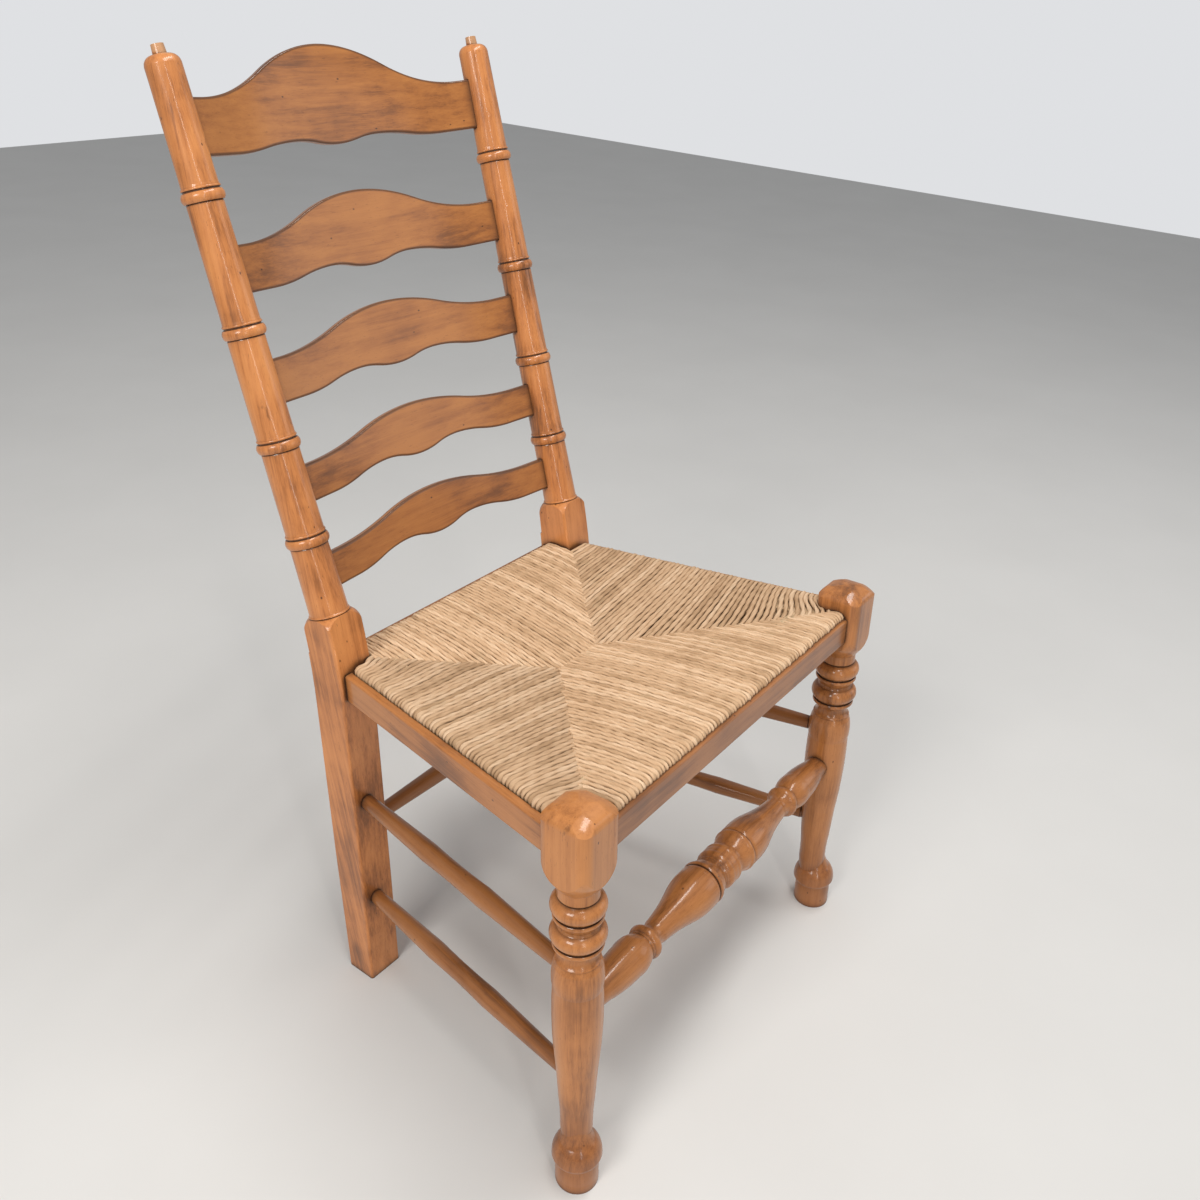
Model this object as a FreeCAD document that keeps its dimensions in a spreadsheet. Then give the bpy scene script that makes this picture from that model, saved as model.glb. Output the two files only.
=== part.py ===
import FreeCAD, Part
import math
import os
import Sketcher
from FreeCAD import Placement, Rotation, Vector

# Ladderback chair with a drop-in rush seat.
# The chair is jointed square and then stands on back feet that are cut shorter,
# so every piece is drawn in the joiner's frame and leaned back at the end.
# Joiner's frame: X is the width, Y runs from the front legs to the back, Z follows
# the front legs, and zero is the middle of the chair at the level of the back feet.

doc = FreeCAD.newDocument("ladderback_chair")
sheet = doc.addObject("Spreadsheet::Sheet", "sizes")

DIMENSIONS = [
    # how the chair stands
    ("floor_drop", 18.5),       # front feet reach this far below the back feet
    ("heel_drop", 3.5),         # the back feet reach this far below zero
    ("front_half", 265.5),      # middle plane to a front leg's axis
    ("leg_depth", 380.0),       # front leg axis to back leg axis
    ("back_half", 200.0),       # middle plane to a back leg's axis
    # front legs
    ("block_side", 56.0),
    ("block_round", 12.0),
    ("block_foot", 380.0),      # underside of the square block
    ("cup_radius", 34.8),       # rounded underside of the block
    ("cup_level", 412.0),
    ("block_top", 472.0),
    ("pillow_round", 11.0),     # edges of the block's domed top
    ("pillow_slope", 26.0),     # degrees, where the dome meets them
    ("dome_radius", 48.3),      # takes the points off the corners
    ("dome_level", 47.0),
    ("bead_one", 357.0),        # height of the middle of each bead
    ("bead_two", 322.0),
    ("bead_rise", 9.0),         # half the height of a bead
    ("leg_swell", 25.3),        # fattest radius below the beads
    ("ankle_radius", 17.4),
    ("foot_offset", 6.0),       # the club foot is turned about an axis nearer the corner
    ("pad_radius", 26.9),
    ("pad_lip", 12.5),
    ("disc_radius", 23.3),
    # back posts
    ("post_side", 47.0),
    ("post_front", 23.5),       # axis to the front face of the leg
    ("post_rear", 26.0),        # axis to the rear face at the seat
    ("heel_rear", 17.0),        # axis to the rear face at the floor
    ("bend_height", 458.0),     # where the post starts to lean back
    ("post_lean", 14.72),       # degrees
    ("post_splay", 1.1),       # degrees outwards
    ("shoulder_rise", 43.5),    # bend to the top of the square part, along the post
    ("post_length", 602.0),     # bend to the rounded top, along the post
    ("post_base_radius", 21.3),
    ("post_top_radius", 17.2),
    ("ring_proud", 1.9),
    ("ring_four", 128.5),       # rings, measured from the bend
    ("ring_gap", 103.2),        # lowest gap between two rings
    ("ring_growth", 12.9),      # each gap is larger than the one below it
    ("stub_radius", 6.6),
    ("stub_rise", 8.5),
    # slats
    ("slat_thick", 9.0),
    ("slat_tenon", 13.0),       # length inside the post
    ("joint_gap", 0.15),
    # seat rails
    ("rail_top", 440.4),
    ("rail_height", 32.8),
    ("rail_thick", 23.0),
    ("rail_lip", 9.5),          # ledge left outside the rebate
    ("rebate_depth", 14.4),
    ("front_inset", 17.0),      # front leg axis to the outer face of the front rail
    ("side_front", 280.0),      # outer face of a side rail at the front block
    ("side_back", 217.0),       # and at the back leg
    ("rear_face", 402.0),       # rear face of the back rail
    ("tenon_thick", 10.0),
    ("tenon_tall", 17.0),
    ("tenon_long", 17.0),
    # stretchers
    ("front_stretcher", 216.0),
    ("stretcher_upper", 264.0),
    ("stretcher_lower", 120.0),
    ("back_stretcher", 212.0),
    ("peg_radius", 8.0),        # round tenon of a stretcher
    ("peg_long", 16.0),
    ("rod_end", 8.6),
    ("rod_middle", 11.6),
    ("bulb_radius", 20.8),
    ("baluster_radius", 26.5),
    # drop-in seat
    ("seat_gap", 1.6),          # rush to the lip of the rails
    ("rush_thick", 4.5),
    ("frame_wide", 46.0),
    ("frame_thick", 11.5),
    ("seat_crown", 9.0),        # rush stands above the rails at its edge
    ("seat_sag", 20.0),         # its middle hangs below the top of the rails
    ("seam_length", 69.0),
    ("seam_depth", 205.0),      # front leg axis to the middle seam
    ("stuffing_thick", 8.0),
    # glue blocks and fastenings
    ("block_leg", 46.0),
    ("block_thick", 17.0),
    ("screw_radius", 2.0),
    ("screw_head", 4.0),
    ("screw_long", 30.0),
    ("brad_radius", 0.9),
    ("brad_long", 24.0),
    ("dowel_radius", 3.0),
    ("dowel_long", 20.0),
]
for row, (alias, value) in enumerate(DIMENSIONS, start=1):
    sheet.set(f"A{row}", alias)
    sheet.set(f"B{row}", str(value))
    sheet.setAlias(f"B{row}", alias)
doc.recompute()


def size(expression):
    """The value of a number, a sheet name or a sum of them."""
    if isinstance(expression, (int, float)):
        return float(expression)
    return float(sheet.evalExpression(expression))


def bound(expression):
    """The same expression, written so that another object can be bound to it."""
    text = str(expression)
    for name in sorted((alias for alias, _ in DIMENSIONS), key=len, reverse=True):
        text = text.replace(name, f"@{name}@")
        while "@@" in text:
            text = text.replace("@@", "@")
    parts = text.split("@")
    names = {alias for alias, _ in DIMENSIONS}
    return "".join(f"sizes.{part}" if part in names else part for part in parts)


def piece(label):
    body = doc.addObject("PartDesign::Body", label)
    body.Label = label
    return body


def plane_of(body, role):
    for feature in body.Origin.OriginFeatures:
        if feature.Role == role:
            return feature
    raise ValueError(role)


def new_sketch(body, label, role, offset=Placement()):
    sketch = body.newObject("Sketcher::SketchObject", label)
    sketch.AttachmentSupport = [(plane_of(body, role), "")]
    sketch.MapMode = "FlatFace"
    sketch.AttachmentOffset = offset
    return sketch


def draw(sketch, outline):
    """A closed outline. Each corner is (across, up) or (across, up, bulge).

    A bulge is the tangent of a quarter of the arc that leads to the next corner,
    positive where the arc turns to the left.
    """
    corners = [(corner[0], corner[1], corner[2] if len(corner) > 2 else 0.0) for corner in outline]
    spots = [Vector(size(across), size(up), 0) for across, up, _ in corners]
    count = len(spots)
    edges = []
    for i, (_, _, bulge) in enumerate(corners):
        a, b = spots[i], spots[(i + 1) % count]
        if bulge:
            chord = b - a
            left = Vector(-chord.y, chord.x, 0)
            middle = (a + b) * 0.5 - left * (bulge / 2)
            edges.append(sketch.addGeometry(Part.Arc(a, middle, b), False))
        else:
            edges.append(sketch.addGeometry(Part.LineSegment(a, b), False))
    for i, (_, _, bulge) in enumerate(corners):
        after = (i + 1) % count
        ends_after = 2 if corners[after][2] < 0 else 1
        ends_here = 1 if bulge < 0 else 2
        sketch.addConstraint(Sketcher.Constraint("Coincident", edges[i], ends_here, edges[after], ends_after))
    for i, (across, up, bulge) in enumerate(corners):
        start = 2 if bulge < 0 else 1
        for kind, value in (("DistanceX", across), ("DistanceY", up)):
            number = size(value)
            constraint = sketch.addConstraint(Sketcher.Constraint(kind, -1, 1, edges[i], start, number))
            name = f"{kind[-1].lower()}{i}"
            sketch.renameConstraint(constraint, name)
            if isinstance(value, str):
                sketch.setExpression(f"Constraints.{name}", bound(value))
        if bulge:
            radius = (spots[(i + 1) % count] - spots[i]).Length * (1 + bulge * bulge) / (4 * abs(bulge))
            sketch.addConstraint(Sketcher.Constraint("Radius", edges[i], radius))
    return sketch


def pad(body, label, role, outline, length, lift=0.0, both_ways=False, offset=None):
    sketch = draw(new_sketch(body, label + "_outline", role, offset or Placement(Vector(0, 0, size(lift)), Rotation())),
                  outline)
    feature = body.newObject("PartDesign::Pad", label)
    feature.Profile = sketch
    feature.Length = size(length)
    if isinstance(length, str):
        feature.setExpression("Length", bound(length))
    feature.SideType = "Symmetric" if both_ways else "One side"
    sketch.Visibility = False
    body.Tip = feature
    return feature


def cut_through(body, label, role, outline, length, offset=None):
    """Takes the outline out of the piece to both sides of its plane."""
    sketch = draw(new_sketch(body, label + "_outline", role, offset or Placement()), outline)
    feature = body.newObject("PartDesign::Pocket", label)
    feature.Profile = sketch
    feature.Length = size(length)
    feature.SideType = "Symmetric"
    body.Tip = feature
    return feature


def turn(body, label, outline, cut=False, frame=None):
    """Turns an outline, (radius, height), about the upright axis of the frame."""
    upright = plane_of(body, "XZ_Plane")
    frame = frame or Placement()
    offset = upright.Placement.inverse().multiply(frame).multiply(upright.Placement)
    sketch = draw(new_sketch(body, label + "_outline", "XZ_Plane", offset), outline)
    feature = body.newObject("PartDesign::Groove" if cut else "PartDesign::Revolution", label)
    feature.Profile = sketch
    feature.ReferenceAxis = (sketch, ["V_Axis"])
    feature.Angle = 360.0
    body.Tip = feature
    return feature


def box_cut(body, label, centre, sides, spin=Rotation()):
    """A straight mortise: its middle, its sides and how it is turned."""
    feature = body.newObject("PartDesign::SubtractiveBox", label)
    lengths = [size(side) for side in sides]
    for name, side, length in zip(("Length", "Width", "Height"), sides, lengths):
        setattr(feature, name, length)
        if isinstance(side, str):
            feature.setExpression(name, bound(side))
    corner = Vector(*lengths) * -0.5
    feature.Placement = Placement(centre, spin).multiply(Placement(corner, Rotation()))
    body.Tip = feature
    return feature


def bore(body, label, start, along, radius, depth):
    """A round hole from a point, along a direction."""
    feature = body.newObject("PartDesign::SubtractiveCylinder", label)
    feature.Radius = size(radius)
    feature.Height = size(depth)
    if isinstance(radius, str):
        feature.setExpression("Radius", bound(radius))
    if isinstance(depth, str):
        feature.setExpression("Height", bound(depth))
    feature.Placement = Placement(start, Rotation(Vector(0, 0, 1), along))
    body.Tip = feature
    return feature


def soften(body, label, radius, wanted):
    """Rounds the edges that a test picks."""
    doc.recompute()
    base = body.Tip
    names = [f"Edge{i}" for i, edge in enumerate(base.Shape.Edges, start=1) if wanted(edge)]
    feature = body.newObject("PartDesign::Fillet", label)
    feature.Base = (base, names)
    feature.Radius = size(radius)
    if isinstance(radius, str):
        feature.setExpression("Radius", bound(radius))
    body.Tip = feature
    return feature


def arc_bulge(start, end, radius):
    """Bulge of the shorter arc of a given radius, turning left from start to end."""
    chord = math.hypot(end[0] - start[0], end[1] - start[1])
    return math.tan(math.asin(chord / (2 * radius)) / 2)


def s_curve(start, end, share=0.5):
    """Two corners of a double bend whose ends both lie level; share is where it turns over."""
    run, rise = end[0] - start[0], end[1] - start[1]
    bulge = math.tan(math.atan2(rise, abs(run)) / 2)
    if run < 0:
        bulge = -bulge
    middle = (start[0] + run * share, start[1] + rise * share)
    return [(start[0], start[1], bulge), (middle[0], middle[1], -bulge)]


SIDES = (("left", -1), ("right", 1))
placed = []


def place(body, local=Placement()):
    placed.append((body, local))
    return body


lean = size("post_lean")
splay = size("post_splay")


def post_frame(side):
    """At the bend, with Z along the leaning post; in the back leg's own frame."""
    spin = Rotation(Vector(0, 1, 0), side * splay).multiply(Rotation(Vector(1, 0, 0), -lean))
    return Placement(Vector(0, 0, size("bend_height")), spin)


def post_point(side, along):
    """A point of the post's axis in the joiner's frame, measured from the bend."""
    leg = Placement(Vector(side * size("back_half"), size("leg_depth"), 0), Rotation())
    return leg.multiply(post_frame(side)).multVec(Vector(0, 0, along))


def post_radius(along):
    share = along / size("post_length")
    return size("post_base_radius") + (size("post_top_radius") - size("post_base_radius")) * share


# Slats, from the crest down: height of the lower edge at the posts along the post from the
# bend, depth at the posts, rise of the hump, reach of the hump, rise of the arches in the
# lower edge, drop of the middle lobe and how far the board is bent back.
SLATS = [
    ("ladder_slat_1", 511.5, 53.5, 49.0, 175.0, 8.0, -1.7, 33.0),
    ("ladder_slat_2", 381.5, 47.0, 36.0, 172.0, 9.7, -2.0, 28.0),
    ("ladder_slat_3", 269.0, 46.0, 28.3, 168.0, 10.3, -3.3, 24.0),
    ("ladder_slat_4", 162.5, 40.2, 23.0, 164.0, 11.0, -3.3, 21.5),
    ("ladder_slat_5", 66.0, 39.0, 20.5, 158.0, 11.4, -3.0, 19.5),
]
ARCH_REACH = 57.0
ARCH_FOOT = 145.0


def slat_bow(slat):
    """Half the distance between the post axes and the radius of the bent board."""
    _, low, deep, _, _, _, _, sag = slat
    half = post_point(1, low + deep / 2).x
    return half, (half * half + sag * sag) / (2 * sag)


def rail_line(side):
    """Outer face of a side rail in plan: a point at the front block and the direction back."""
    start = Vector(side * size("side_front"), size("block_side / 2"), 0)
    end = Vector(side * size("side_back"), size("leg_depth - post_front"), 0)
    return start, (end - start).normalize()


def rail_spin(side):
    _, along = rail_line(side)
    return Rotation(Vector(0, 1, 0), along)


TENON_HEIGHT = size("rail_top - rail_height") + 9.2
FRONT_TENON_Y = -size("front_inset") + size("rail_thick") * 0.45
BACK_TENON_Y = size("rear_face") - size("rail_thick") / 2


def side_tenon(side, at_front):
    """Middle of a side rail's tenon in plan, in the joiner's frame."""
    start, along = rail_line(side)
    inward = Vector(-side * along.y, side * along.x, 0)
    if inward.x * side > 0:
        inward = inward * -1
    centre = start + inward * (size("rail_thick") / 2)
    if at_front:
        return centre - along * (size("tenon_long") / 2)
    length = (size("leg_depth - post_front - block_side / 2")) / along.y
    return centre + along * (length + size("tenon_long") / 2)


def stretcher_ends(side, height):
    """Axis points of a side stretcher on the front leg and on the back leg."""
    front = Vector(side * size("front_half"), 0, height)
    back = Vector(side * size("back_half"), size("leg_depth"), height)
    return front, back


NECK = 20.6
STRETCHER_END = 13.8
LET_IN = 21.4


def leg_profile():
    """The turned part of a front leg from inside the block to the ankle: radius, height."""
    one, two = size("bead_one"), size("bead_two")
    rise = size("bead_rise")
    return [
        (0, "block_foot + 6"),
        (20.6, "block_foot + 6"),
        (20.6, "block_foot - 11", 0.35),
        (19.2, f"{one + rise + 1}"),
        (21.0, f"{one + rise}", -0.62),
        (22.4, f"{one - rise}"),
        (22.4, f"{one - rise - 1.2}"),
        (24.0, f"{one - rise - 1.6}", -0.55),
        (23.2, f"{one - rise - 6.6}"),
        (20.2, f"{two + rise + 4.5}", 0.30),
        (21.2, f"{two + rise + 1.0}", -0.62),
        (22.8, f"{two - rise}"),
        (22.8, f"{two - rise - 1.2}"),
        (24.4, f"{two - rise - 1.6}", -0.55),
        (23.4, f"{two - rise - 6.8}"),
        (19.6, f"{two - rise - 10.0}", 0.38),
        (22.6, f"{two - rise - 23.0}"),
        (22.0, f"{two - rise - 24.4}"),
        (24.4, f"{two - rise - 30.0}", -0.10),
        ("leg_swell", f"{two - rise - 58.0}", -0.035),
        (21.8, 142.0),
        (19.2, 96.0, 0.03),
        ("ankle_radius", 52.0),
        (15.6, 30.0),
        (0, 30.0),
    ]


def pillow_outline():
    """What lies above the domed top of a leg's block, seen from the front or from the side."""
    half = size("block_side / 2") + 0.02
    top = size("block_top")
    radius = size("pillow_round")
    slope = math.radians(size("pillow_slope"))
    reach = half - radius + radius * math.sin(slope)
    shoulder = top - reach * math.tan(slope / 2)
    base = shoulder - radius * math.cos(slope)
    corner = math.tan((math.pi / 2 - slope) / 4)
    over = 3.0
    return [(half, base, corner), (reach, shoulder, math.tan(slope / 2)), (-reach, shoulder, corner), (-half, base),
            (-half - over, base), (-half - over, top + over), (half + over, top + over), (half + over, base)]


def front_leg(word, side):
    leg = piece(f"front_leg_{word}")
    half = "block_side / 2"
    low = "block_foot"
    pad(leg, f"leg_block_{word}", "XY_Plane",
        [(f"-{half}", f"-{half}"), (half, f"-{half}"), (half, half), (f"-{half}", half)],
        "block_top - block_foot", lift=low)
    soften(leg, f"leg_block_edges_{word}", "block_round",
           lambda edge: abs(edge.BoundBox.ZLength) > 60 and edge.BoundBox.XLength < 0.01)
    cup, level = size("cup_radius"), size("cup_level")
    drop = level - size("block_foot")
    around = math.acos(cup / math.hypot(NECK, drop)) - math.atan2(drop, NECK)
    touch = (cup * math.cos(around), level + cup * math.sin(around))
    turn(leg, f"leg_block_cup_{word}",
         [(NECK, "block_foot"), (*touch, arc_bulge(touch, (cup, level), cup)), (cup, "cup_level"),
          (60, "cup_level"), (60, "block_foot - 4"), (NECK, "block_foot - 4")], cut=True)
    pillow = pillow_outline()
    cut_through(leg, f"leg_block_pillow_{word}", "XZ_Plane", pillow, 200)
    cut_through(leg, f"leg_block_cushion_{word}", "YZ_Plane", pillow, 200)
    dome = size("dome_radius")
    crown = size("block_top - dome_level")
    rim = dome - 0.4
    edge = crown + math.sqrt(dome * dome - rim * rim)
    turn(leg, f"leg_block_dome_{word}",
         [(rim, edge, arc_bulge((rim, edge), (0, crown + dome), dome)), (0, crown + dome),
          (0, "block_top + 15"), (60, "block_top + 15"), (60, edge)], cut=True)
    turn(leg, f"leg_turning_{word}", leg_profile())
    out = size("foot_offset") / math.sqrt(2)
    foot = Placement(Vector(side * out, -out, 0), Rotation())
    turn(leg, f"club_foot_{word}",
         [(0, 64), (10.4, 64, 0.13), (18.6, "pad_lip + 26", -0.2), ("pad_radius", "pad_lip + 7", -0.27),
          ("pad_radius - 2", "pad_lip"), (23.0, "pad_lip - 1.4"), (22.4, "pad_lip - 3.4", -0.05),
          ("disc_radius", -12.0, -0.06), (22.0, -34.0), (0, -34.0)], frame=foot)
    spread = 60.0
    slope = size("floor_drop / leg_depth")
    drop = size("floor_drop + heel_drop")
    cut_through(leg, f"floor_cut_{word}", "YZ_Plane",
                [(-spread, -drop - spread * slope), (-spread, -drop - spread), (spread, -drop - spread),
                 (spread, -drop + spread * slope)], 4 * spread)
    deep = size("tenon_long") + 1.0
    box_cut(leg, f"front_rail_mortise_{word}",
            Vector(-side * (size(half) - deep / 2), FRONT_TENON_Y, TENON_HEIGHT),
            (deep, size("tenon_thick") + 0.3, size("tenon_tall") + 0.3))
    axis = Vector(side * size("front_half"), 0, 0)
    spot = side_tenon(side, True) - axis + rail_line(side)[1] * 4.0
    box_cut(leg, f"side_rail_mortise_{word}", Vector(spot.x, spot.y, TENON_HEIGHT),
            (size("tenon_thick") + 0.3, size("tenon_long") + 9.0, size("tenon_tall") + 0.3), rail_spin(side))
    bore(leg, f"front_stretcher_bore_{word}",
         Vector(-side * 4.0, 0, size("front_stretcher")), Vector(-side, 0, 0), "peg_radius + joint_gap", 40)
    bore(leg, f"front_stretcher_seat_{word}",
         Vector(-side * (LET_IN - 0.2), 0, size("front_stretcher")), Vector(-side, 0, 0),
         STRETCHER_END + 0.15, 20)
    for name in ("upper", "lower"):
        height = size(f"stretcher_{name}")
        front, back = stretcher_ends(side, height)
        along = (back - front).normalize()
        bore(leg, f"{name}_stretcher_bore_{word}", Vector(0, 0, height) + along * 5.0, along,
             "peg_radius + joint_gap", 40)
    return place(leg, Placement(axis, Rotation()))


def post_profile():
    """The round post above its square part: radius, distance from the bend."""
    outline = [(0, "shoulder_rise - 24"), (20.6, "shoulder_rise - 24"), (20.6, "shoulder_rise - 1"),
               (22.3, "shoulder_rise + 0.6", 0.5), (22.0, "shoulder_rise + 2.4"), (21.4, "shoulder_rise + 3.2")]
    gap, growth = size("ring_gap"), size("ring_growth")
    at = size("ring_four")
    for number in range(4):
        base = post_radius(at)
        crown = base + size("ring_proud")
        outline += [(base, at - 7.2), (base - 0.5, at - 5.8), (crown - 0.5, at - 5.4, 0.36),
                    (crown - 0.5, at + 4.2), (base - 0.2, at + 4.8), (base - 0.2, at + 5.6),
                    (base + 0.9, at + 6.2, 0.45), (base + 0.3, at + 8.6), (base, at + 11.0)]
        at += gap + number * growth
    top = "post_length"
    outline += [("post_top_radius", f"{top} - 9", 0.36), (9.0, f"{top} - 0.5"), ("stub_radius", top),
                ("stub_radius - 0.6", f"{top} + stub_rise", 0.0), (0, f"{top} + stub_rise - 1.5")]
    return outline


def post_brads(side):
    """Brads of one post, two through each slat: where each starts and its direction."""
    spin = post_frame(side).Rotation
    forward = spin.multVec(Vector(0, -1, 0))
    found = []
    for _, low, deep, *_ in SLATS:
        for share in (0.2, 0.8):
            along = low + deep * share
            centre = post_point(side, along)
            inward = spin.multVec(Vector(-side, 0, 0))
            start = centre + inward * 7.5 + forward * (math.sqrt(post_radius(along) ** 2 - 7.5 ** 2) - 0.4)
            found.append((start, forward * -1))
    return found


def back_post(word, side):
    post = piece(f"back_post_{word}")
    rise = size("bend_height + shoulder_rise * cos(post_lean)")
    reach = size("shoulder_rise * sin(post_lean)")
    pad(post, f"post_leg_{word}", "YZ_Plane",
        [("-post_front", -10), ("-post_front", "bend_height - 34", -0.028), (reach - 21.4, rise + 8),
         (reach + 21.4, rise + 8), (size("post_rear") + 2, "bend_height", 0.03),
         ("post_rear - 2", "bend_height - 70"), ("heel_rear + 4.5", 170), ("heel_rear", -10)],
        "post_side", both_ways=True)
    soften(post, f"post_leg_edges_{word}", 3.0,
           lambda edge: edge.BoundBox.ZLength > 40 and edge.BoundBox.XLength < 0.01)
    turn(post, f"post_shoulder_{word}",
         [(21.3, "shoulder_rise + 0.5", -0.30), (31.4, "shoulder_rise - 16"), (33.6, "shoulder_rise - 40"),
          (60, "shoulder_rise - 40"), (60, "shoulder_rise + 60"), (21.3, "shoulder_rise + 60")],
         cut=True, frame=post_frame(side))
    turn(post, f"post_turning_{word}", post_profile(), frame=post_frame(side))
    leg = Vector(side * size("back_half"), size("leg_depth"), 0)
    slope = size("floor_drop / leg_depth")
    spread = 70.0
    heel = size("heel_drop")
    cut_through(post, f"floor_cut_{word}", "YZ_Plane",
                [(-spread, -heel - spread * slope), (-spread, -spread), (spread, -spread), (spread, -heel + spread * slope)],
                4 * spread)
    for slat in SLATS:
        name, low, deep, *_ = slat
        half, bow = slat_bow(slat)
        turn_in = math.degrees(math.asin((half - post_radius(low) + size("slat_tenon") / 2) / bow))
        centre = post_point(side, low + deep / 2)
        depth_of = slat_depth(slat, half - post_radius(low) + size("slat_tenon") / 2)
        spin = Rotation(Vector(1, 0, 0), -lean).multiply(Rotation(Vector(0, 0, 1), -side * turn_in))
        out = post_radius(low) - size("slat_tenon") / 2
        shift = Rotation(Vector(1, 0, 0), -lean).multVec(Vector(-side * out, depth_of, 0))
        box_cut(post, f"{name}_mortise_{word}", centre - leg + shift,
                (size("slat_tenon") + 4.4, size("slat_thick") + 0.5, deep + 0.4), spin)
    spot = side_tenon(side, False) - leg
    box_cut(post, f"side_rail_mortise_{word}", Vector(spot.x, spot.y, TENON_HEIGHT),
            (size("tenon_thick") + 0.3, size("tenon_long") + 1.0, size("tenon_tall") + 0.3), rail_spin(side))
    deep = size("tenon_long") + 1.0
    box_cut(post, f"back_rail_mortise_{word}",
            Vector(-side * (size("post_side") / 2 - deep / 2), BACK_TENON_Y - leg.y, TENON_HEIGHT),
            (deep, size("tenon_thick") + 0.3, size("tenon_tall") + 0.3))
    for name in ("upper", "lower"):
        height = size(f"stretcher_{name}")
        front, back = stretcher_ends(side, height)
        along = (front - back).normalize()
        bore(post, f"{name}_stretcher_bore_{word}", Vector(0, 0, height) + along * 5.0, along,
             "peg_radius + joint_gap", 40)
    bore(post, f"back_stretcher_bore_{word}", Vector(-side * 5.0, 0, size("back_stretcher")),
         Vector(-side, 0, 0), "peg_radius + joint_gap", 40)
    for number, (start, along) in enumerate(post_brads(side), start=1):
        bore(post, f"brad_hole_{number}_{word}", start - leg, along, "brad_radius", "brad_long")
    return place(post, Placement(leg, Rotation()))


def slat_depth(slat, across):
    """How far the middle of the bent board lies behind the post axes."""
    half, bow = slat_bow(slat)
    sag = slat[7]
    return sag - bow + math.sqrt(bow * bow - across * across)


def ladder_slat(slat):
    name, low, deep, hump, reach, arch, lobe, sag = slat
    board = piece(name)
    half, bow = slat_bow(slat)
    end = half - post_radius(low) + size("slat_tenon")
    thick = size("slat_thick")
    top = [(end, deep), *s_curve((reach, deep), (0, deep + hump), 0.515)]
    top += [*s_curve((0, deep + hump), (-reach, deep), 0.485), (-reach, deep), (-end, deep)]
    base = [(-end, 0), *s_curve((-ARCH_FOOT, 0), (-ARCH_REACH, arch))]
    base += [*s_curve((-ARCH_REACH, arch), (0, -lobe)), *s_curve((0, -lobe), (ARCH_REACH, arch))]
    base += [*s_curve((ARCH_REACH, arch), (ARCH_FOOT, 0)), (ARCH_FOOT, 0), (end, 0)]
    pad(board, name + "_board", "XZ_Plane", top + base, 160, both_ways=True)
    box = end + 30
    for word, offset, far in (("front", -thick / 2, -90.0), ("rear", thick / 2, 90.0)):
        level = sag - bow
        radius = bow + offset
        edge = level + math.sqrt(radius * radius - box * box)
        bulge = math.tan(math.asin(box / radius) / 2)
        cut_through(board, f"{name}_{word}_bend", "XY_Plane",
                    [(-box, edge, -bulge), (box, edge), (box, far), (-box, far)], 400)
    middle = post_point(1, low)
    home = Placement(Vector(0, middle.y, middle.z), Rotation(Vector(1, 0, 0), -lean))
    first = 2 * [other[0] for other in SLATS].index(name)
    for word, side in SIDES:
        for number, (start, along) in enumerate(post_brads(side)[first:first + 2], start=1):
            bore(board, f"{name}_brad_hole_{number}_{word}", home.inverse().multVec(start),
                 home.Rotation.inverted().multVec(along), "brad_radius", "brad_long")
    return place(board, home)


def straight_rail(name, half_span, outer, inward):
    """The front or the back seat rail; inward is +1 where the rebate lies towards +Y."""
    rail = piece(name)
    thick, lip = size("rail_thick"), size("rail_lip")
    base = "rail_top - rail_height"
    rebate = "rail_top - rebate_depth"
    section = [(0, base), (inward * thick, base), (inward * thick, rebate), (inward * lip, rebate),
               (inward * lip, "rail_top"), (0, "rail_top")]
    if inward < 0:
        section = section[::-1]
    pad(rail, name + "_bar", "YZ_Plane", section, 2 * half_span, both_ways=True)
    soften(rail, name + "_edge", 2.5,
           lambda edge: edge.BoundBox.XLength > 100 and abs(edge.CenterOfMass.y) < 0.01)
    for number, (start, along) in enumerate(block_screw_places(), start=1):
        if along.y * inward < -0.9:
            bore(rail, f"{name}_screw_hole_{number}", start - Vector(0, outer, 0), along, "screw_radius", "screw_long")
    tenon_y = (FRONT_TENON_Y if inward > 0 else BACK_TENON_Y) - outer
    half_thick, half_tall = size("tenon_thick") / 2, size("tenon_tall") / 2
    for word, side in SIDES:
        root = min(side * half_span, side * (half_span + size("tenon_long")))
        pad(rail, f"{name}_tenon_{word}", "YZ_Plane",
            [(tenon_y - half_thick, TENON_HEIGHT - half_tall), (tenon_y + half_thick, TENON_HEIGHT - half_tall),
             (tenon_y + half_thick, TENON_HEIGHT + half_tall), (tenon_y - half_thick, TENON_HEIGHT + half_tall)],
            "tenon_long", lift=root)
    return place(rail, Placement(Vector(0, outer, 0), Rotation()))


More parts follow.
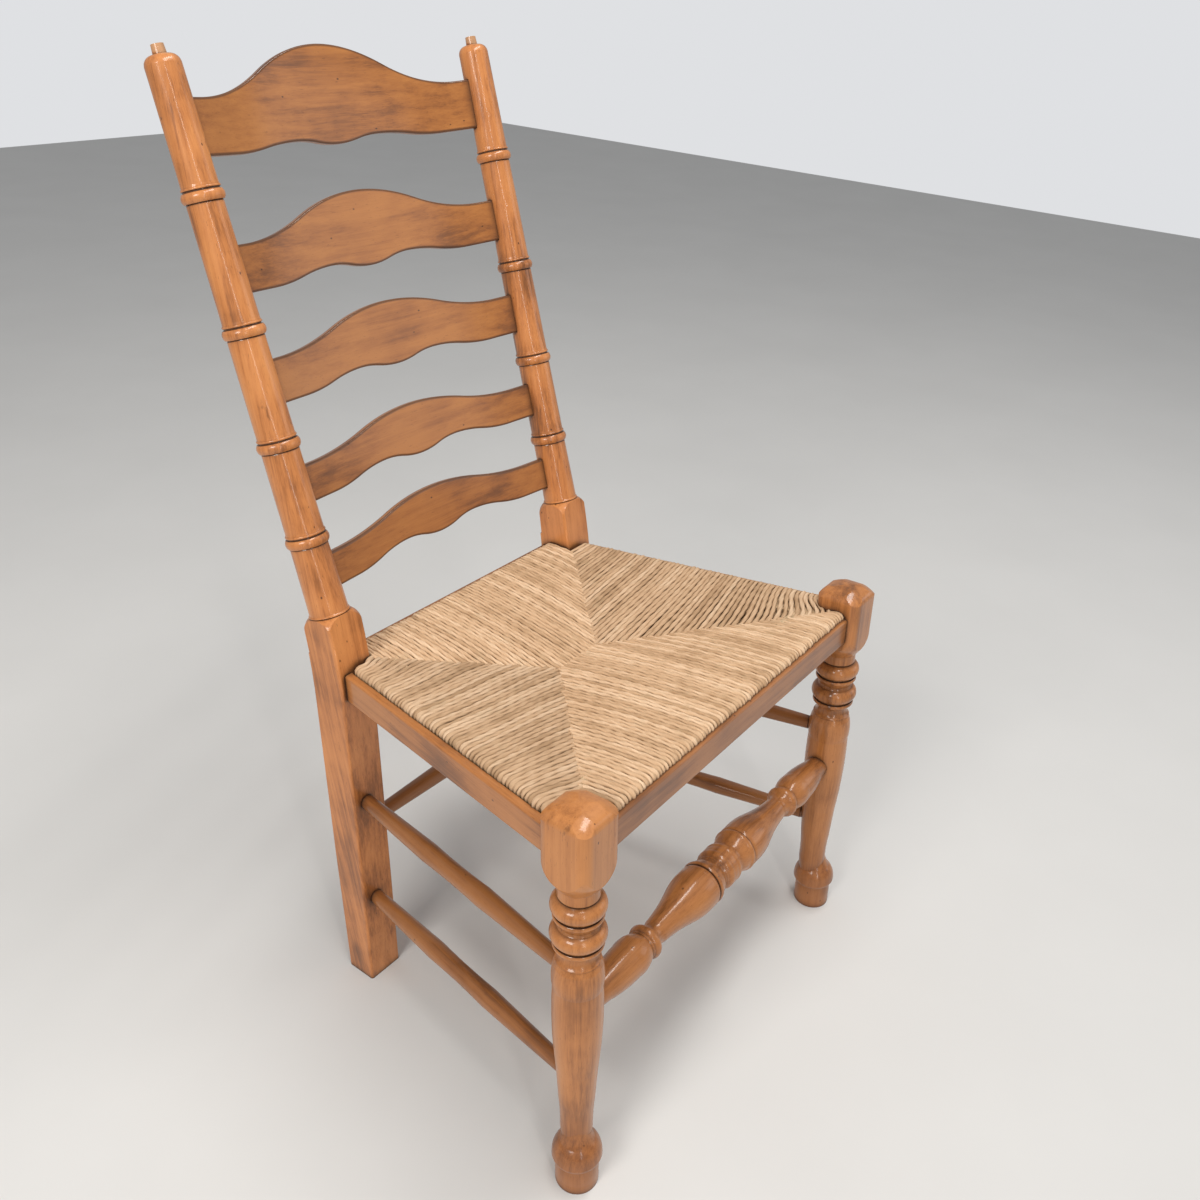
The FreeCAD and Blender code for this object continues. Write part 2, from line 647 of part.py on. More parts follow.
def side_rail(word, side):
    """Drawn along its own length, then turned to the splay of the seat."""
    rail = piece(f"seat_rail_{word}")
    start, along = rail_line(side)
    length = size("leg_depth - post_front - block_side / 2") / along.y
    thick, lip = size("rail_thick"), size("rail_lip")
    base = "rail_top - rail_height"
    rebate = "rail_top - rebate_depth"
    section = [(0, base), (-side * thick, base), (-side * thick, rebate), (-side * lip, rebate),
               (-side * lip, "rail_top"), (0, "rail_top")]
    if side > 0:
        section = section[::-1]
    extra = thick * abs(along.x / along.y) + 4
    pad(rail, f"side_bar_{word}", "XZ_Plane", section, 2 * (length + extra), both_ways=True)
    soften(rail, f"side_edge_{word}", 2.5,
           lambda edge: edge.BoundBox.YLength > 100 and abs(edge.CenterOfMass.x) < 0.01)
    doc.recompute()
    wide, far = 60.0, 1000.0
    slant = wide * along.x / along.y
    cut_through(rail, f"front_shoulder_{word}", "XY_Plane",
                [(-wide, -slant), (wide, slant), (wide, -far), (-wide, -far)], far)
    cut_through(rail, f"back_shoulder_{word}", "XY_Plane",
                [(-wide, length - slant), (-wide, length + far), (wide, length + far), (wide, length + slant)], far)
    home = Placement(start, rail_spin(side))
    for number, (spot, way) in enumerate(block_screw_places(), start=1):
        if way.x * side > 0.9:
            bore(rail, f"side_screw_hole_{number}_{word}", home.inverse().multVec(spot),
                 home.Rotation.inverted().multVec(way), "screw_radius", "screw_long")
    half_thick, half_tall = size("tenon_thick") / 2, size("tenon_tall") / 2
    centre = -side * thick / 2
    root = 6.0
    for end, level in (("front", -size("tenon_long")), ("back", length - root)):
        pad(rail, f"side_tenon_{end}_{word}", "XZ_Plane",
            [(centre - half_thick, TENON_HEIGHT - half_tall), (centre + half_thick, TENON_HEIGHT - half_tall),
             (centre + half_thick, TENON_HEIGHT + half_tall), (centre - half_thick, TENON_HEIGHT + half_tall)],
            size("tenon_long") + root, lift=-(level + size("tenon_long") + root))
    return place(rail, home)


# where the side stretchers meet the turned front leg, from its axis
LEG_REACH = {"upper": 25.6, "lower": 21.6}


def round_rod(name, start, end, start_reach, end_reach):
    """A plain turned stretcher that swells towards its middle."""
    rod = piece(name)
    run = end - start
    clear = run.Length - start_reach - end_reach
    peg = size("peg_long")
    turn(rod, name + "_turning",
         [(0, -peg), ("peg_radius - 1", -peg), ("peg_radius", -peg + 1), ("peg_radius", 0), ("rod_end", 0.5),
          ("rod_middle", clear * 0.36, -0.02), ("rod_middle", clear * 0.64), ("rod_end", clear - 0.5),
          ("peg_radius", clear), ("peg_radius", clear + peg - 1), ("peg_radius - 1", clear + peg),
          (0, clear + peg)])
    along = run.normalize()
    return place(rod, Placement(start + along * start_reach, Rotation(Vector(0, 0, 1), along)))


def front_rod():
    """The turned front stretcher: two bulbs, two balusters and a bead in the middle."""
    rod = piece("front_stretcher")
    half = size("front_half") - LET_IN
    peg = size("peg_long")
    side = [
        (0, half + peg), ("peg_radius - 1", half + peg), ("peg_radius", half + peg - 1), ("peg_radius", half),
        (STRETCHER_END, half - 0.1), (STRETCHER_END, half - 3), (15.4, half - 16, -0.06), ("bulb_radius", 184, -0.16), (17.4, 159.5),
        (16.2, 157.5), (17.0, 156.3), (17.0, 154.6), (18.2, 153.6, -0.42), (17.6, 144.0), (14.6, 141.5, 0.22),
        (14.2, 130.0, 0.05), (22.4, 82.0, -0.09), ("baluster_radius", 45.0, -0.20), (25.2, 39.0), (24.4, 38.0),
        (26.2, 37.2, -0.36), (25.6, 31.5), (24.9, 30.4, -0.10), (20.8, 19.6, 0.16), (20.2, 16.4),
        (21.4, 15.0), (21.4, 13.4), (22.6, 12.2, -0.30), (24.3, 4.0),
    ]
    mirrored = []
    for i in range(len(side) - 1, -1, -1):
        corner = side[i]
        bulge = side[i - 1][2] if i > 0 and len(side[i - 1]) > 2 else 0.0
        height = corner[1]
        mirrored.append((corner[0], -size(height), bulge))
    side[-1] = (24.3, 4.0, -0.08)
    turn(rod, "front_stretcher_turning", side + mirrored)
    start = Vector(0, 0, size("front_stretcher"))
    return place(rod, Placement(start, Rotation(Vector(0, 0, 1), Vector(1, 0, 0))))


def seat_corner(side, front, inset):
    """A corner of the drop-in seat in plan, a given inset from the lip of the rails."""
    start, along = rail_line(side)
    inward = Vector(-side * abs(along.y), side * along.x, 0)
    edge = start + inward * (size("rail_lip") + inset)
    if front:
        level = -size("front_inset") + size("rail_lip") + inset
    else:
        level = size("rear_face") - size("rail_lip") - inset
    reach = (level - edge.y) / along.y
    return Vector(edge.x + along.x * reach, level, 0)


def seat_outline(inset):
    """Plan of the rush: the rails' opening less a gap, notched around the four legs."""
    gap = size("seat_gap") + inset
    corners = []
    for side, order in ((-1, 1), (1, -1)):
        run = notch(side, False, gap)[::-1] + notch(side, True, gap)
        corners += run[::order]
    return corners


def notch(side, front, gap):
    """The three corners cut around a leg: on the side edge, inside and on the end edge."""
    _, along = rail_line(side)
    edge = seat_corner(side, front, gap)
    if front:
        inner_x = size("front_half - block_side / 2") - gap
        inner_y = size("block_side / 2") + gap
    else:
        inner_x = size("back_half - post_side / 2") - gap
        inner_y = size("leg_depth - post_front") - gap
    on_side = edge + along * ((inner_y - edge.y) / along.y)
    return [on_side, Vector(side * inner_x, inner_y, 0), Vector(side * inner_x, edge.y, 0)]


FRAME_EDGE = size("seat_gap + rush_thick")


BAR_BASE = size("rail_top - rebate_depth + rush_thick")
SEAM_LEVEL = size("rail_top - seat_sag")
RUSH_TOP = size("rail_top + seat_crown")
RUSH_BASE = size("rail_top - rebate_depth")


def level_loft(body, label, sections, cut=False):
    """Lofts straight between outlines drawn at their own heights."""
    sketches = []
    for number, (corners, height) in enumerate(sections):
        sketch = new_sketch(body, f"{label}_outline_{number}", "XY_Plane", Placement(Vector(0, 0, height), Rotation()))
        sketches.append(draw(sketch, [(corner.x, corner.y) for corner in corners]))
    feature = body.newObject("PartDesign::SubtractiveLoft" if cut else "PartDesign::AdditiveLoft", label)
    feature.Profile = sketches[0]
    feature.Sections = sketches[1:]
    feature.Ruled = True
    body.Tip = feature
    return feature


def field_corners(inset):
    """Four corners inside the seat frame's outer edge, as if it had no notches."""
    inset += FRAME_EDGE
    return [seat_corner(-1, True, inset), seat_corner(1, True, inset),
            seat_corner(1, False, inset), seat_corner(-1, False, inset)]


def seam_corners(half_wide, half_deep):
    middle = size("seam_depth")
    return [Vector(-half_wide, middle - half_deep, 0), Vector(half_wide, middle - half_deep, 0),
            Vector(half_wide, middle + half_deep, 0), Vector(-half_wide, middle + half_deep, 0)]


STUFFING = (("front", 0), ("right", 1), ("back", 2), ("left", 3))


def stuffing_sections(index, extra):
    """The bar end and the seam end of one wad of stuffing, each a standing rectangle."""
    outer = field_corners(size("frame_wide") + 2.0 - extra)
    across = extra if index % 2 == 0 else -extra
    inner = seam_corners(size("seam_length") / 2 - 4.0 + across, 6.0 - across)
    a, b = outer[index], outer[(index + 1) % 4]
    c, d = inner[index], inner[(index + 1) % 4]
    pull = 0.10 if extra == 0 else 0.075
    a, b = a + (b - a) * pull, b + (a - b) * pull
    c, d = c + (d - c) * pull, d + (c - d) * pull
    return (a, b), (c, d)


def wad_solid(index, extra):
    """One wad between the two layers of rush, thinner towards the seam."""
    (a, b), (c, d) = stuffing_sections(index, extra)
    thick = size("stuffing_thick")
    high = BAR_BASE + size("frame_thick") / 2 + 1.0
    low = SEAM_LEVEL - size("rush_thick") - thick / 2 - 1.0
    rings = []
    for (p, q), level, half in (((a, b), high, thick / 2 + extra), ((c, d), low, thick / 2 - 1.0 + extra)):
        rings.append([Vector(p.x, p.y, level - half), Vector(q.x, q.y, level - half),
                      Vector(q.x, q.y, level + half), Vector(p.x, p.y, level + half)])
    wires = [Part.makePolygon(ring + [ring[0]]) for ring in rings]
    return Part.makeLoft(wires, True, True)


def rush_seat():
    """The closed envelope of the woven rush, hollow where the frame and the stuffing lie."""
    rush = piece("rush_envelope")
    outline = [(corner.x, corner.y) for corner in seat_outline(0.0)]
    pad(rush, "rush_block", "XY_Plane", outline, RUSH_TOP - RUSH_BASE, lift=RUSH_BASE)
    soften(rush, "rush_rolled_edge", 7.0,
           lambda edge: edge.BoundBox.ZLength < 0.01 and edge.CenterOfMass.z > RUSH_TOP - 0.01
           and edge.Length > 100)
    roll = 15.0
    level_loft(rush, "rush_dish", [(field_corners(roll), RUSH_TOP + 0.5),
                                   (seam_corners(size("seam_length") / 2, 1.0), SEAM_LEVEL)], cut=True)
    under = SEAM_LEVEL - 2 * size("rush_thick") - size("stuffing_thick")
    level_loft(rush, "rush_underside", [(field_corners(size("frame_wide")), RUSH_BASE + 0.5),
                                        (seam_corners(size("seam_length") / 2, 8.0), under)])
    doc.recompute()
    outer = seat_outline(size("rush_thick") - 0.3)
    inner = field_corners(size("frame_wide") + 0.3)
    tall = Vector(0, 0, size("frame_thick") + 0.6)
    hollow = Part.Face(Part.makePolygon(outer + outer[:1])).extrude(tall)
    hollow = hollow.cut(Part.Face(Part.makePolygon(inner + inner[:1])).extrude(tall))
    hollow.translate(Vector(0, 0, BAR_BASE - 0.3))
    shape = rush.Shape.cut(hollow)
    for _, index in STUFFING:
        shape = shape.cut(wad_solid(index, 0.7))
    for start, _ in seat_screw_places():
        shape = shape.cut(Part.makeCylinder(size("screw_radius"), size("screw_long"), start))
    woven = doc.addObject("Part::Feature", "rush_weave")
    woven.Shape = shape
    woven.Label = "rush_weave"
    return place(woven)


def stuffing(word, index):
    wad = doc.addObject("Part::Feature", f"rush_stuffing_{word}")
    wad.Shape = wad_solid(index, 0.0)
    wad.Label = f"rush_stuffing_{word}"
    return place(wad)


def frame_bar(word, index):
    """A bar of the seat frame: the front and back bars run through, the side bars butt them."""
    bar = piece(f"slip_frame_{word}")
    a, b = field_corners(0.0)[index], field_corners(0.0)[(index + 1) % 4]
    d, c = field_corners(size("frame_wide"))[index], field_corners(size("frame_wide"))[(index + 1) % 4]
    through = word in ("front", "back")
    if through:
        corners = []
        for side in ((-1, 1) if word == "front" else (1, -1)):
            cut = notch(side, word == "front", FRAME_EDGE)
            run = [bar_corner(side, word == "front"), *cut]
            corners += run if not corners else run[::-1]
    else:
        side = -1 if word == "left" else 1
        trim = (b - a).normalize() * 0.1
        first, last = (bar_corner(side, a.y < b.y), bar_corner(side, a.y > b.y))
        corners = [first + trim, last - trim, c - trim, d + trim]
    pad(bar, f"frame_bar_{word}", "XY_Plane", [(corner.x, corner.y) for corner in corners], "frame_thick",
        lift=BAR_BASE)
    for number, (spot, along, side, front) in enumerate(dowel_places(), start=1):
        if word in (("front" if front else "back"), ("left" if side < 0 else "right")):
            bore(bar, f"dowel_hole_{number}_{word}", spot - along * (size("dowel_long") / 2), along,
                 "dowel_radius", "dowel_long")
    for number, (start, (_, front)) in enumerate(seat_screw_places(), start=1):
        if word == ("front" if front else "back"):
            bore(bar, f"seat_screw_hole_{number}", start, Vector(0, 0, 1), "screw_radius", "screw_long")
    return place(bar)


def bar_corner(side, front):
    """Where the inner edge of the front or the back bar meets the frame's outer side edge."""
    _, along = rail_line(side)
    outer = seat_corner(side, front, FRAME_EDGE)
    inner = seat_corner(side, front, FRAME_EDGE + size("frame_wide"))
    return outer + along * ((inner.y - outer.y) / along.y)


def dowel_places():
    """Two dowels in each corner joint of the seat frame: middle, direction and corner."""
    level = Vector(0, 0, BAR_BASE + size("frame_thick") / 2)
    found = []
    for _, side in SIDES:
        _, along = rail_line(side)
        for front in (True, False):
            outer = bar_corner(side, front)
            inner = seat_corner(side, front, FRAME_EDGE + size("frame_wide"))
            for share in (0.3, 0.7):
                found.append((outer + (inner - outer) * share + level, along, side, front))
    return found


def corner_block_plan(side, front):
    """A triangle of wood in the corner between two rails, clipped where the leg stands."""
    leg = size("block_leg")
    if front:
        y = -size("front_inset") + size("rail_thick")
        depth = 1
    else:
        y = size("rear_face") - size("rail_thick")
        depth = -1
    start, along = rail_line(side)
    inward = Vector(-side * abs(along.y), side * along.x, 0)
    face = start + inward * size("rail_thick")
    corner = face + along * ((y - face.y) / along.y)
    gap = 0.1
    if front:
        clear_x = size("front_half - block_side / 2") - gap
        clear_y = size("block_side / 2") + gap
    else:
        clear_x = size("back_half - post_side / 2") - gap
        clear_y = size("leg_depth - post_front") - gap
    y += depth * gap
    at_clear = face + inward * gap + along * ((clear_y - face.y) / along.y)
    far = corner + inward * gap + along * depth * (leg + 18)
    points = [Vector(side * clear_x, y, 0), Vector(side * clear_x, clear_y, 0)]
    if (at_clear.x - side * clear_x) * side > 0.5:
        points.append(Vector(at_clear.x, clear_y, 0))
    points.append(far)
    points.append(Vector(side * (clear_x - leg), y, 0))
    return points


def corner_block(word, side, front):
    block = piece(f"corner_block_{'front' if front else 'back'}_{word}")
    points = corner_block_plan(side, front)
    top = RUSH_BASE - 0.4
    pad(block, block.Label + "_wedge", "XY_Plane", [(point.x, point.y) for point in points], "block_thick",
        lift=top - size("block_thick"))
    for number, (start, along) in enumerate(block_screw_places(), start=1):
        if start.x * side > 0 and (start.y < size("seam_depth")) == front:
            bore(block, f"{block.Label}_screw_hole_{number}", start - along * 6, along,
                 "screw_radius", "screw_long + 6")
            bore(block, f"{block.Label}_screw_seat_{number}", start - along * 10, along,
                 "screw_head + 0.3", 10.7)
    for start, where in seat_screw_places():
        if where == (side, front):
            up = Vector(0, 0, 1)
            bore(block, f"{block.Label}_seat_screw_hole", start - up * 40, up, "screw_radius", 90)
            bore(block, f"{block.Label}_seat_screw_seat", start - up * 10, up, "screw_head + 0.3", 10.7)
    return place(block)


def block_screw_places():
    """Two screws through each corner block, one into each rail: start and direction."""
    level = Vector(0, 0, RUSH_BASE - size("block_thick") / 2)
    found = []
    for _, side in SIDES:
        _, along = rail_line(side)
        outward = Vector(side * abs(along.y), -side * along.x, 0)
        for front in (True, False):
            far, near = corner_block_plan(side, front)[-2:]
            slant = (far - near).normalize()
            found.append((near + slant * 13.0 + level, Vector(0, -1 if front else 1, 0)))
            found.append((far - slant * 13.0 + level, outward))
    return found


def seat_screw_places():
    """One screw up through each corner block into the seat frame: start and corner."""
    low = RUSH_BASE - size("block_thick") - 0.4
    found = []
    for _, side in SIDES:
        for front in (True, False):
            level = (notch(side, front, FRAME_EDGE)[0].y + bar_corner(side, front).y) / 2
            far, near = corner_block_plan(side, front)[-2:]
            slant = far + (near - far) * ((level - far.y) / (near.y - far.y))
            start, along = rail_line(side)
            face = start.x + along.x * (level - start.y) / along.y - side * size("rail_thick")
            found.append((Vector((slant.x + face) / 2, level, low), (side, front)))
    return found


def screw(start, along, length, tail=Vector()):
    """A countersunk screw: its head lies at the start, flush or a hair below."""
    radius, head = size("screw_radius") - 0.05, size("screw_head")
    shank = Part.makeCylinder(radius, length - 3.0, start + along * 0.5, along)
    point = Part.makeCone(radius, 0.2, 3.0, start + along * (length - 2.5), along)
    cap = Part.makeCone(head, radius, 2.4, start - along * 1.9, along)
    return cap.fuse([shank, point]).removeSplitter()


def group(label, solids):
    """Identical fastenings kept together as separate solids."""
    feature = doc.addObject("Part::Feature", label)
    feature.Shape = Part.makeCompound(solids)
    feature.Label = label
    return place(feature)


def fastenings():
    group("corner_block_screws",
          [screw(start, along, size("screw_long") - 0.5) for start, along in block_screw_places()])
    group("slip_seat_screws",
          [screw(start, Vector(0, 0, 1), size("screw_long") - 0.5) for start, _ in seat_screw_places()])
    group("slip_frame_dowels",
          [Part.makeCylinder(size("dowel_radius") - 0.05, size("dowel_long") - 0.4,
                             spot - along * (size("dowel_long") / 2 - 0.2), along)
           for spot, along, _, _ in dowel_places()])
    brads = []
    for _, side in SIDES:
        for start, along in post_brads(side):
            shank = Part.makeCylinder(size("brad_radius") - 0.05, size("brad_long") - 0.5, start + along * 0.2, along)
            brads.append(shank)
    group("slat_brads", brads)


def build():
    for word, side in SIDES:
        front_leg(word, side)
        back_post(word, side)
    for slat in SLATS:
        ladder_slat(slat)
    front_span = size("front_half - block_side / 2")
    straight_rail("seat_rail_front", front_span, -size("front_inset"), 1)
    straight_rail("seat_rail_back", size("back_half - post_side / 2"), size("rear_face"), -1)
    for word, side in SIDES:
        side_rail(word, side)
        for name in ("upper", "lower"):
            front, back = stretcher_ends(side, size(f"stretcher_{name}"))
            run = back - front
            at_post = (size("post_front") * run.Length + size("rod_end") * abs(run.x)) / run.y
            round_rod(f"side_stretcher_{name}_{word}", front, back, LEG_REACH[name], at_post)
    front_rod()
    half = Vector(size("back_half"), size("leg_depth"), size("back_stretcher"))
    half_post = size("post_side") / 2
    round_rod("back_stretcher", Vector(-half.x, half.y, half.z), half, half_post, half_post)
    rush_seat()
    for word, index in STUFFING:
        stuffing(word, index)
        frame_bar(word, index)
    for word, side in SIDES:
        corner_block(word, side, True)
        corner_block(word, side, False)
    fastenings()


def stand():
    """Leans the chair back onto its four feet and centres it on the floor."""
    doc.recompute()
    tilt = Rotation(Vector(1, 0, 0), -math.degrees(math.atan(size("floor_drop / leg_depth"))))
    lean_back = Placement(Vector(0, 0, 0), tilt)
    whole = FreeCAD.BoundBox()
    for body, local in placed:
        body.Placement = lean_back.multiply(local)
        for point in body.Shape.tessellate(0.1)[0]:
            whole.add(point)
    shift = Placement(Vector(0, -whole.Center.y, -whole.ZMin), Rotation())
    for body, local in placed:
        body.Placement = shift.multiply(lean_back).multiply(local)
    doc.recompute()


def write():
    faults = [thing.Name for thing in doc.Objects if {"Invalid", "Error"} & set(thing.State)]
    for body, _ in placed:
        if body.Shape.isNull() or not body.Shape.isValid() or body.Shape.Volume <= 0:
            faults.append(body.Label + " shape")
    if faults:
        raise RuntimeError("failed: " + ", ".join(faults))
    os.makedirs("parts", exist_ok=True)
    for body, _ in placed:
        body.Shape.exportStep(f"parts/{body.Label}.step")


build()
stand()
write()
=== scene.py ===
import math
import bmesh
import bpy
import numpy as np
from mathutils import Matrix, Vector


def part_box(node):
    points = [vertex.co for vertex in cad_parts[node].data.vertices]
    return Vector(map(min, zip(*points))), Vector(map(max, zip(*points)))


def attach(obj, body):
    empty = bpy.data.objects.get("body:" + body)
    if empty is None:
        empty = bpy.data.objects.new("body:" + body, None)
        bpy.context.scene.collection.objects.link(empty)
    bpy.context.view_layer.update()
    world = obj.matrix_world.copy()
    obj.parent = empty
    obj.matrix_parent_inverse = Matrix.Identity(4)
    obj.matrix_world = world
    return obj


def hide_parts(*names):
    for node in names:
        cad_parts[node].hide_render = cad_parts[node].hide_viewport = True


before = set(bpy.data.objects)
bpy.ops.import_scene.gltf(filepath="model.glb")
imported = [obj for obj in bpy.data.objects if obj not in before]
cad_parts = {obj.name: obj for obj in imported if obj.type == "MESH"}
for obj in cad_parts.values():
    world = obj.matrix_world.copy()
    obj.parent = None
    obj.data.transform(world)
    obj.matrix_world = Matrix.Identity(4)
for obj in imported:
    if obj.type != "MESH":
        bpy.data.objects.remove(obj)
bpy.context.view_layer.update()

# A ladderback chair: lacquered turned wood and a drop-in seat woven from rush.
# Shapes are drawn in the joiner's frame in millimetres, where Z follows the front legs,
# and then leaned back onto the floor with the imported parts.

rng = np.random.default_rng(7)

FLOOR_DROP = 18.5         # how much lower the front feet stand than the back ones
LEG_DEPTH = 380.0         # from the front legs to the back posts
TILT = math.atan(FLOOR_DROP / LEG_DEPTH)
BACK_STRETCHER = 212.0    # its height in the joiner's frame


def joiner_shift():
    """Where the joiner's zero lies, read from the back stretcher."""
    low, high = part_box("back_stretcher")
    depth = LEG_DEPTH * math.cos(TILT) + BACK_STRETCHER * math.sin(TILT)
    height = -LEG_DEPTH * math.sin(TILT) + BACK_STRETCHER * math.cos(TILT)
    return (low.y + high.y) / 2 * 1000 - depth, (low.z + high.z) / 2 * 1000 - height


SHIFT_Y, SHIFT_Z = joiner_shift()


def leaned(points):
    """Joiner's millimetres to metres on the floor."""
    p = np.asarray(points, float).reshape(-1, 3)
    y = p[:, 1] * math.cos(TILT) + p[:, 2] * math.sin(TILT) + SHIFT_Y
    z = -p[:, 1] * math.sin(TILT) + p[:, 2] * math.cos(TILT) + SHIFT_Z
    return np.stack([p[:, 0], y, z], axis=1) / 1000


def leaned_direction(x, y, z):
    """A direction of the joiner's frame as it stands on the floor."""
    return Vector((x, y * math.cos(TILT) + z * math.sin(TILT), -y * math.sin(TILT) + z * math.cos(TILT)))


# Shader tree helpers

class Value:
    """A socket that can be added, multiplied and so on."""

    def __init__(self, tree, socket):
        self.tree = tree
        self.socket = socket

    def maths(self, operation, first, second):
        node = self.tree.nodes.new("ShaderNodeMath")
        node.operation = operation
        for socket, item in zip(node.inputs, (first, second)):
            if isinstance(item, Value):
                self.tree.links.new(item.socket, socket)
            else:
                socket.default_value = item
        return Value(self.tree, node.outputs[0])

    def __add__(self, other): return self.maths("ADD", self, other)
    def __radd__(self, other): return self.maths("ADD", other, self)
    def __sub__(self, other): return self.maths("SUBTRACT", self, other)
    def __rsub__(self, other): return self.maths("SUBTRACT", other, self)
    def __mul__(self, other): return self.maths("MULTIPLY", self, other)
    def __rmul__(self, other): return self.maths("MULTIPLY", other, self)
    def __truediv__(self, other): return self.maths("DIVIDE", self, other)

    def between(self, low, high):
        """0 below low, 1 above high and a smooth step in between."""
        node = self.tree.nodes.new("ShaderNodeMapRange")
        node.interpolation_type = "SMOOTHSTEP"
        self.tree.links.new(self.socket, node.inputs["Value"])
        node.inputs["From Min"].default_value = low
        node.inputs["From Max"].default_value = high
        return Value(self.tree, node.outputs["Result"])


class Nodes:
    """The shader tree of a material or a world, built up by short calls."""

    def __init__(self, owner):
        owner.use_nodes = True
        self.tree = owner.node_tree
        self.tree.nodes.clear()

    def node(self, kind, settings=None, sockets=None, output=0):
        node = self.tree.nodes.new(kind)
        for name, value in (settings or {}).items():
            setattr(node, name, value)
        for name, value in (sockets or {}).items():
            if isinstance(value, Value):
                self.tree.links.new(value.socket, node.inputs[name])
            else:
                node.inputs[name].default_value = value
        return Value(self.tree, node.outputs[output]) if node.outputs else None


class Finish(Nodes):
    """A material that is described by its pattern, colours and gloss."""

    def __init__(self, name):
        self.material = bpy.data.materials.new(name)
        super().__init__(self.material)

    def mix(self, amount, first, second):
        """From the first colour to the second."""
        node = self.tree.nodes.new("ShaderNodeMix")
        node.data_type = "RGBA"
        for socket, value in zip((node.inputs[0], node.inputs[6], node.inputs[7]), (amount, first, second)):
            if isinstance(value, Value):
                self.tree.links.new(value.socket, socket)
            else:
                socket.default_value = value if isinstance(value, float) else (*value, 1.0)
        return Value(self.tree, node.outputs[2])

    def noise(self, vector, scale, detail=3.0, rough=0.55):
        return self.node("ShaderNodeTexNoise", {},
                         {"Vector": vector, "Scale": scale, "Detail": detail, "Roughness": rough})

    def stretched(self, vector, scale):
        return self.node("ShaderNodeVectorMath", {"operation": "MULTIPLY"}, {0: vector, 1: scale})

    def place(self):
        """Object coordinates."""
        return self.node("ShaderNodeTexCoord", output=3)

    def added(self, vector, other):
        return self.node("ShaderNodeVectorMath", {"operation": "ADD"}, {0: vector, 1: other})

    def vector(self, x, y, z):
        return self.node("ShaderNodeCombineXYZ", {}, {"X": x, "Y": y, "Z": z})

    def attribute(self, name):
        return self.node("ShaderNodeAttribute", {"attribute_name": name}, output=2)

    def openness(self, distance, samples):
        """1 on open surfaces, less in creases up to a distance."""
        return self.node("ShaderNodeAmbientOcclusion", {"samples": samples}, {"Distance": distance}, output=1)

    def bump(self, height, distance, strength=1.0):
        return self.node("ShaderNodeBump", {}, {"Height": height, "Distance": distance, "Strength": strength})

    def surface(self, **sockets):
        shader = self.node("ShaderNodeBsdfPrincipled", {},
                           {name.replace("_", " "): value for name, value in sockets.items()})
        self.node("ShaderNodeOutputMaterial", {}, {"Surface": shader})
        return self.material


# Lacquered wood: the patterns' scales are given twice across the grain and once along it

FIBRE = (900.0, 900.0, 22.0)
STREAK = (190.0, 190.0, 6.0)
BAND = (45.0, 45.0, 2.2)
BLOTCH = (34.0, 34.0, 15.0)
DASH = (1300.0, 1300.0, 120.0)
SCUFF = (60.0, 60.0, 22.0)
WANDER = (9.0, 9.0, 2.5)
CLOUD = 9.0
PIN_HOLES = 85.0                    # places for a pin hole in a metre, most of them left empty
# the colour of painted shade in creases and grooves
CREASE_SHADE_BROWN = (0.050, 0.018, 0.006)
# the colour of the pin holes, and of painted shade in the narrowest creases
PIN_HOLE_AND_CREASE_SHADE = (0.035, 0.013, 0.005)
# the colour the slats darken to along their rounded edges
ROUNDED_EDGE_DARK = (0.060, 0.022, 0.008)
# stain and painted shade on the slats beside the posts
POST_SIDE_STAIN_AND_SHADE = (0.085, 0.030, 0.010)
BROWN_STAIN = (0.13, 0.048, 0.016)
# the colour the front legs darken to towards the bottom
LOW_LEG_DARK = (0.20, 0.062, 0.018)
RAW_WOOD = (0.50, 0.33, 0.19)


def along_grain(f, place, grain, seed):
    """The place in a piece with Z along its grain, straight and with a little wander."""
    turn = Vector(grain).normalized().rotation_difference(Vector((0, 0, 1))).to_euler()
    local = f.node("ShaderNodeVectorRotate", {"rotation_type": "EULER_XYZ"},
                   {"Vector": place, "Rotation": tuple(turn)})
    local = f.added(local, (seed * 0.37, seed * 0.61, seed * 0.23))
    wander = f.noise(f.stretched(local, WANDER), 1.0, 2.0)
    return local, f.added(local, f.vector(wander * 0.012, wander * 0.009, 0.0))


def pin_holes(f, local):
    """Small round holes, scattered over some of the cells of a pattern."""
    marks = f.stretched(local, (1.0, 1.0, 0.6))
    cell = {"Vector": marks, "Scale": PIN_HOLES}
    spot = f.node("ShaderNodeTexVoronoi", {"feature": "F1"}, cell)
    colour = f.node("ShaderNodeTexVoronoi", {"feature": "F1"}, cell, output=1)
    pick = f.node("ShaderNodeSeparateColor", {}, {"Color": colour})
    return (1.0 - spot.between(0.05, 0.10)) * pick.between(0.60, 0.64)


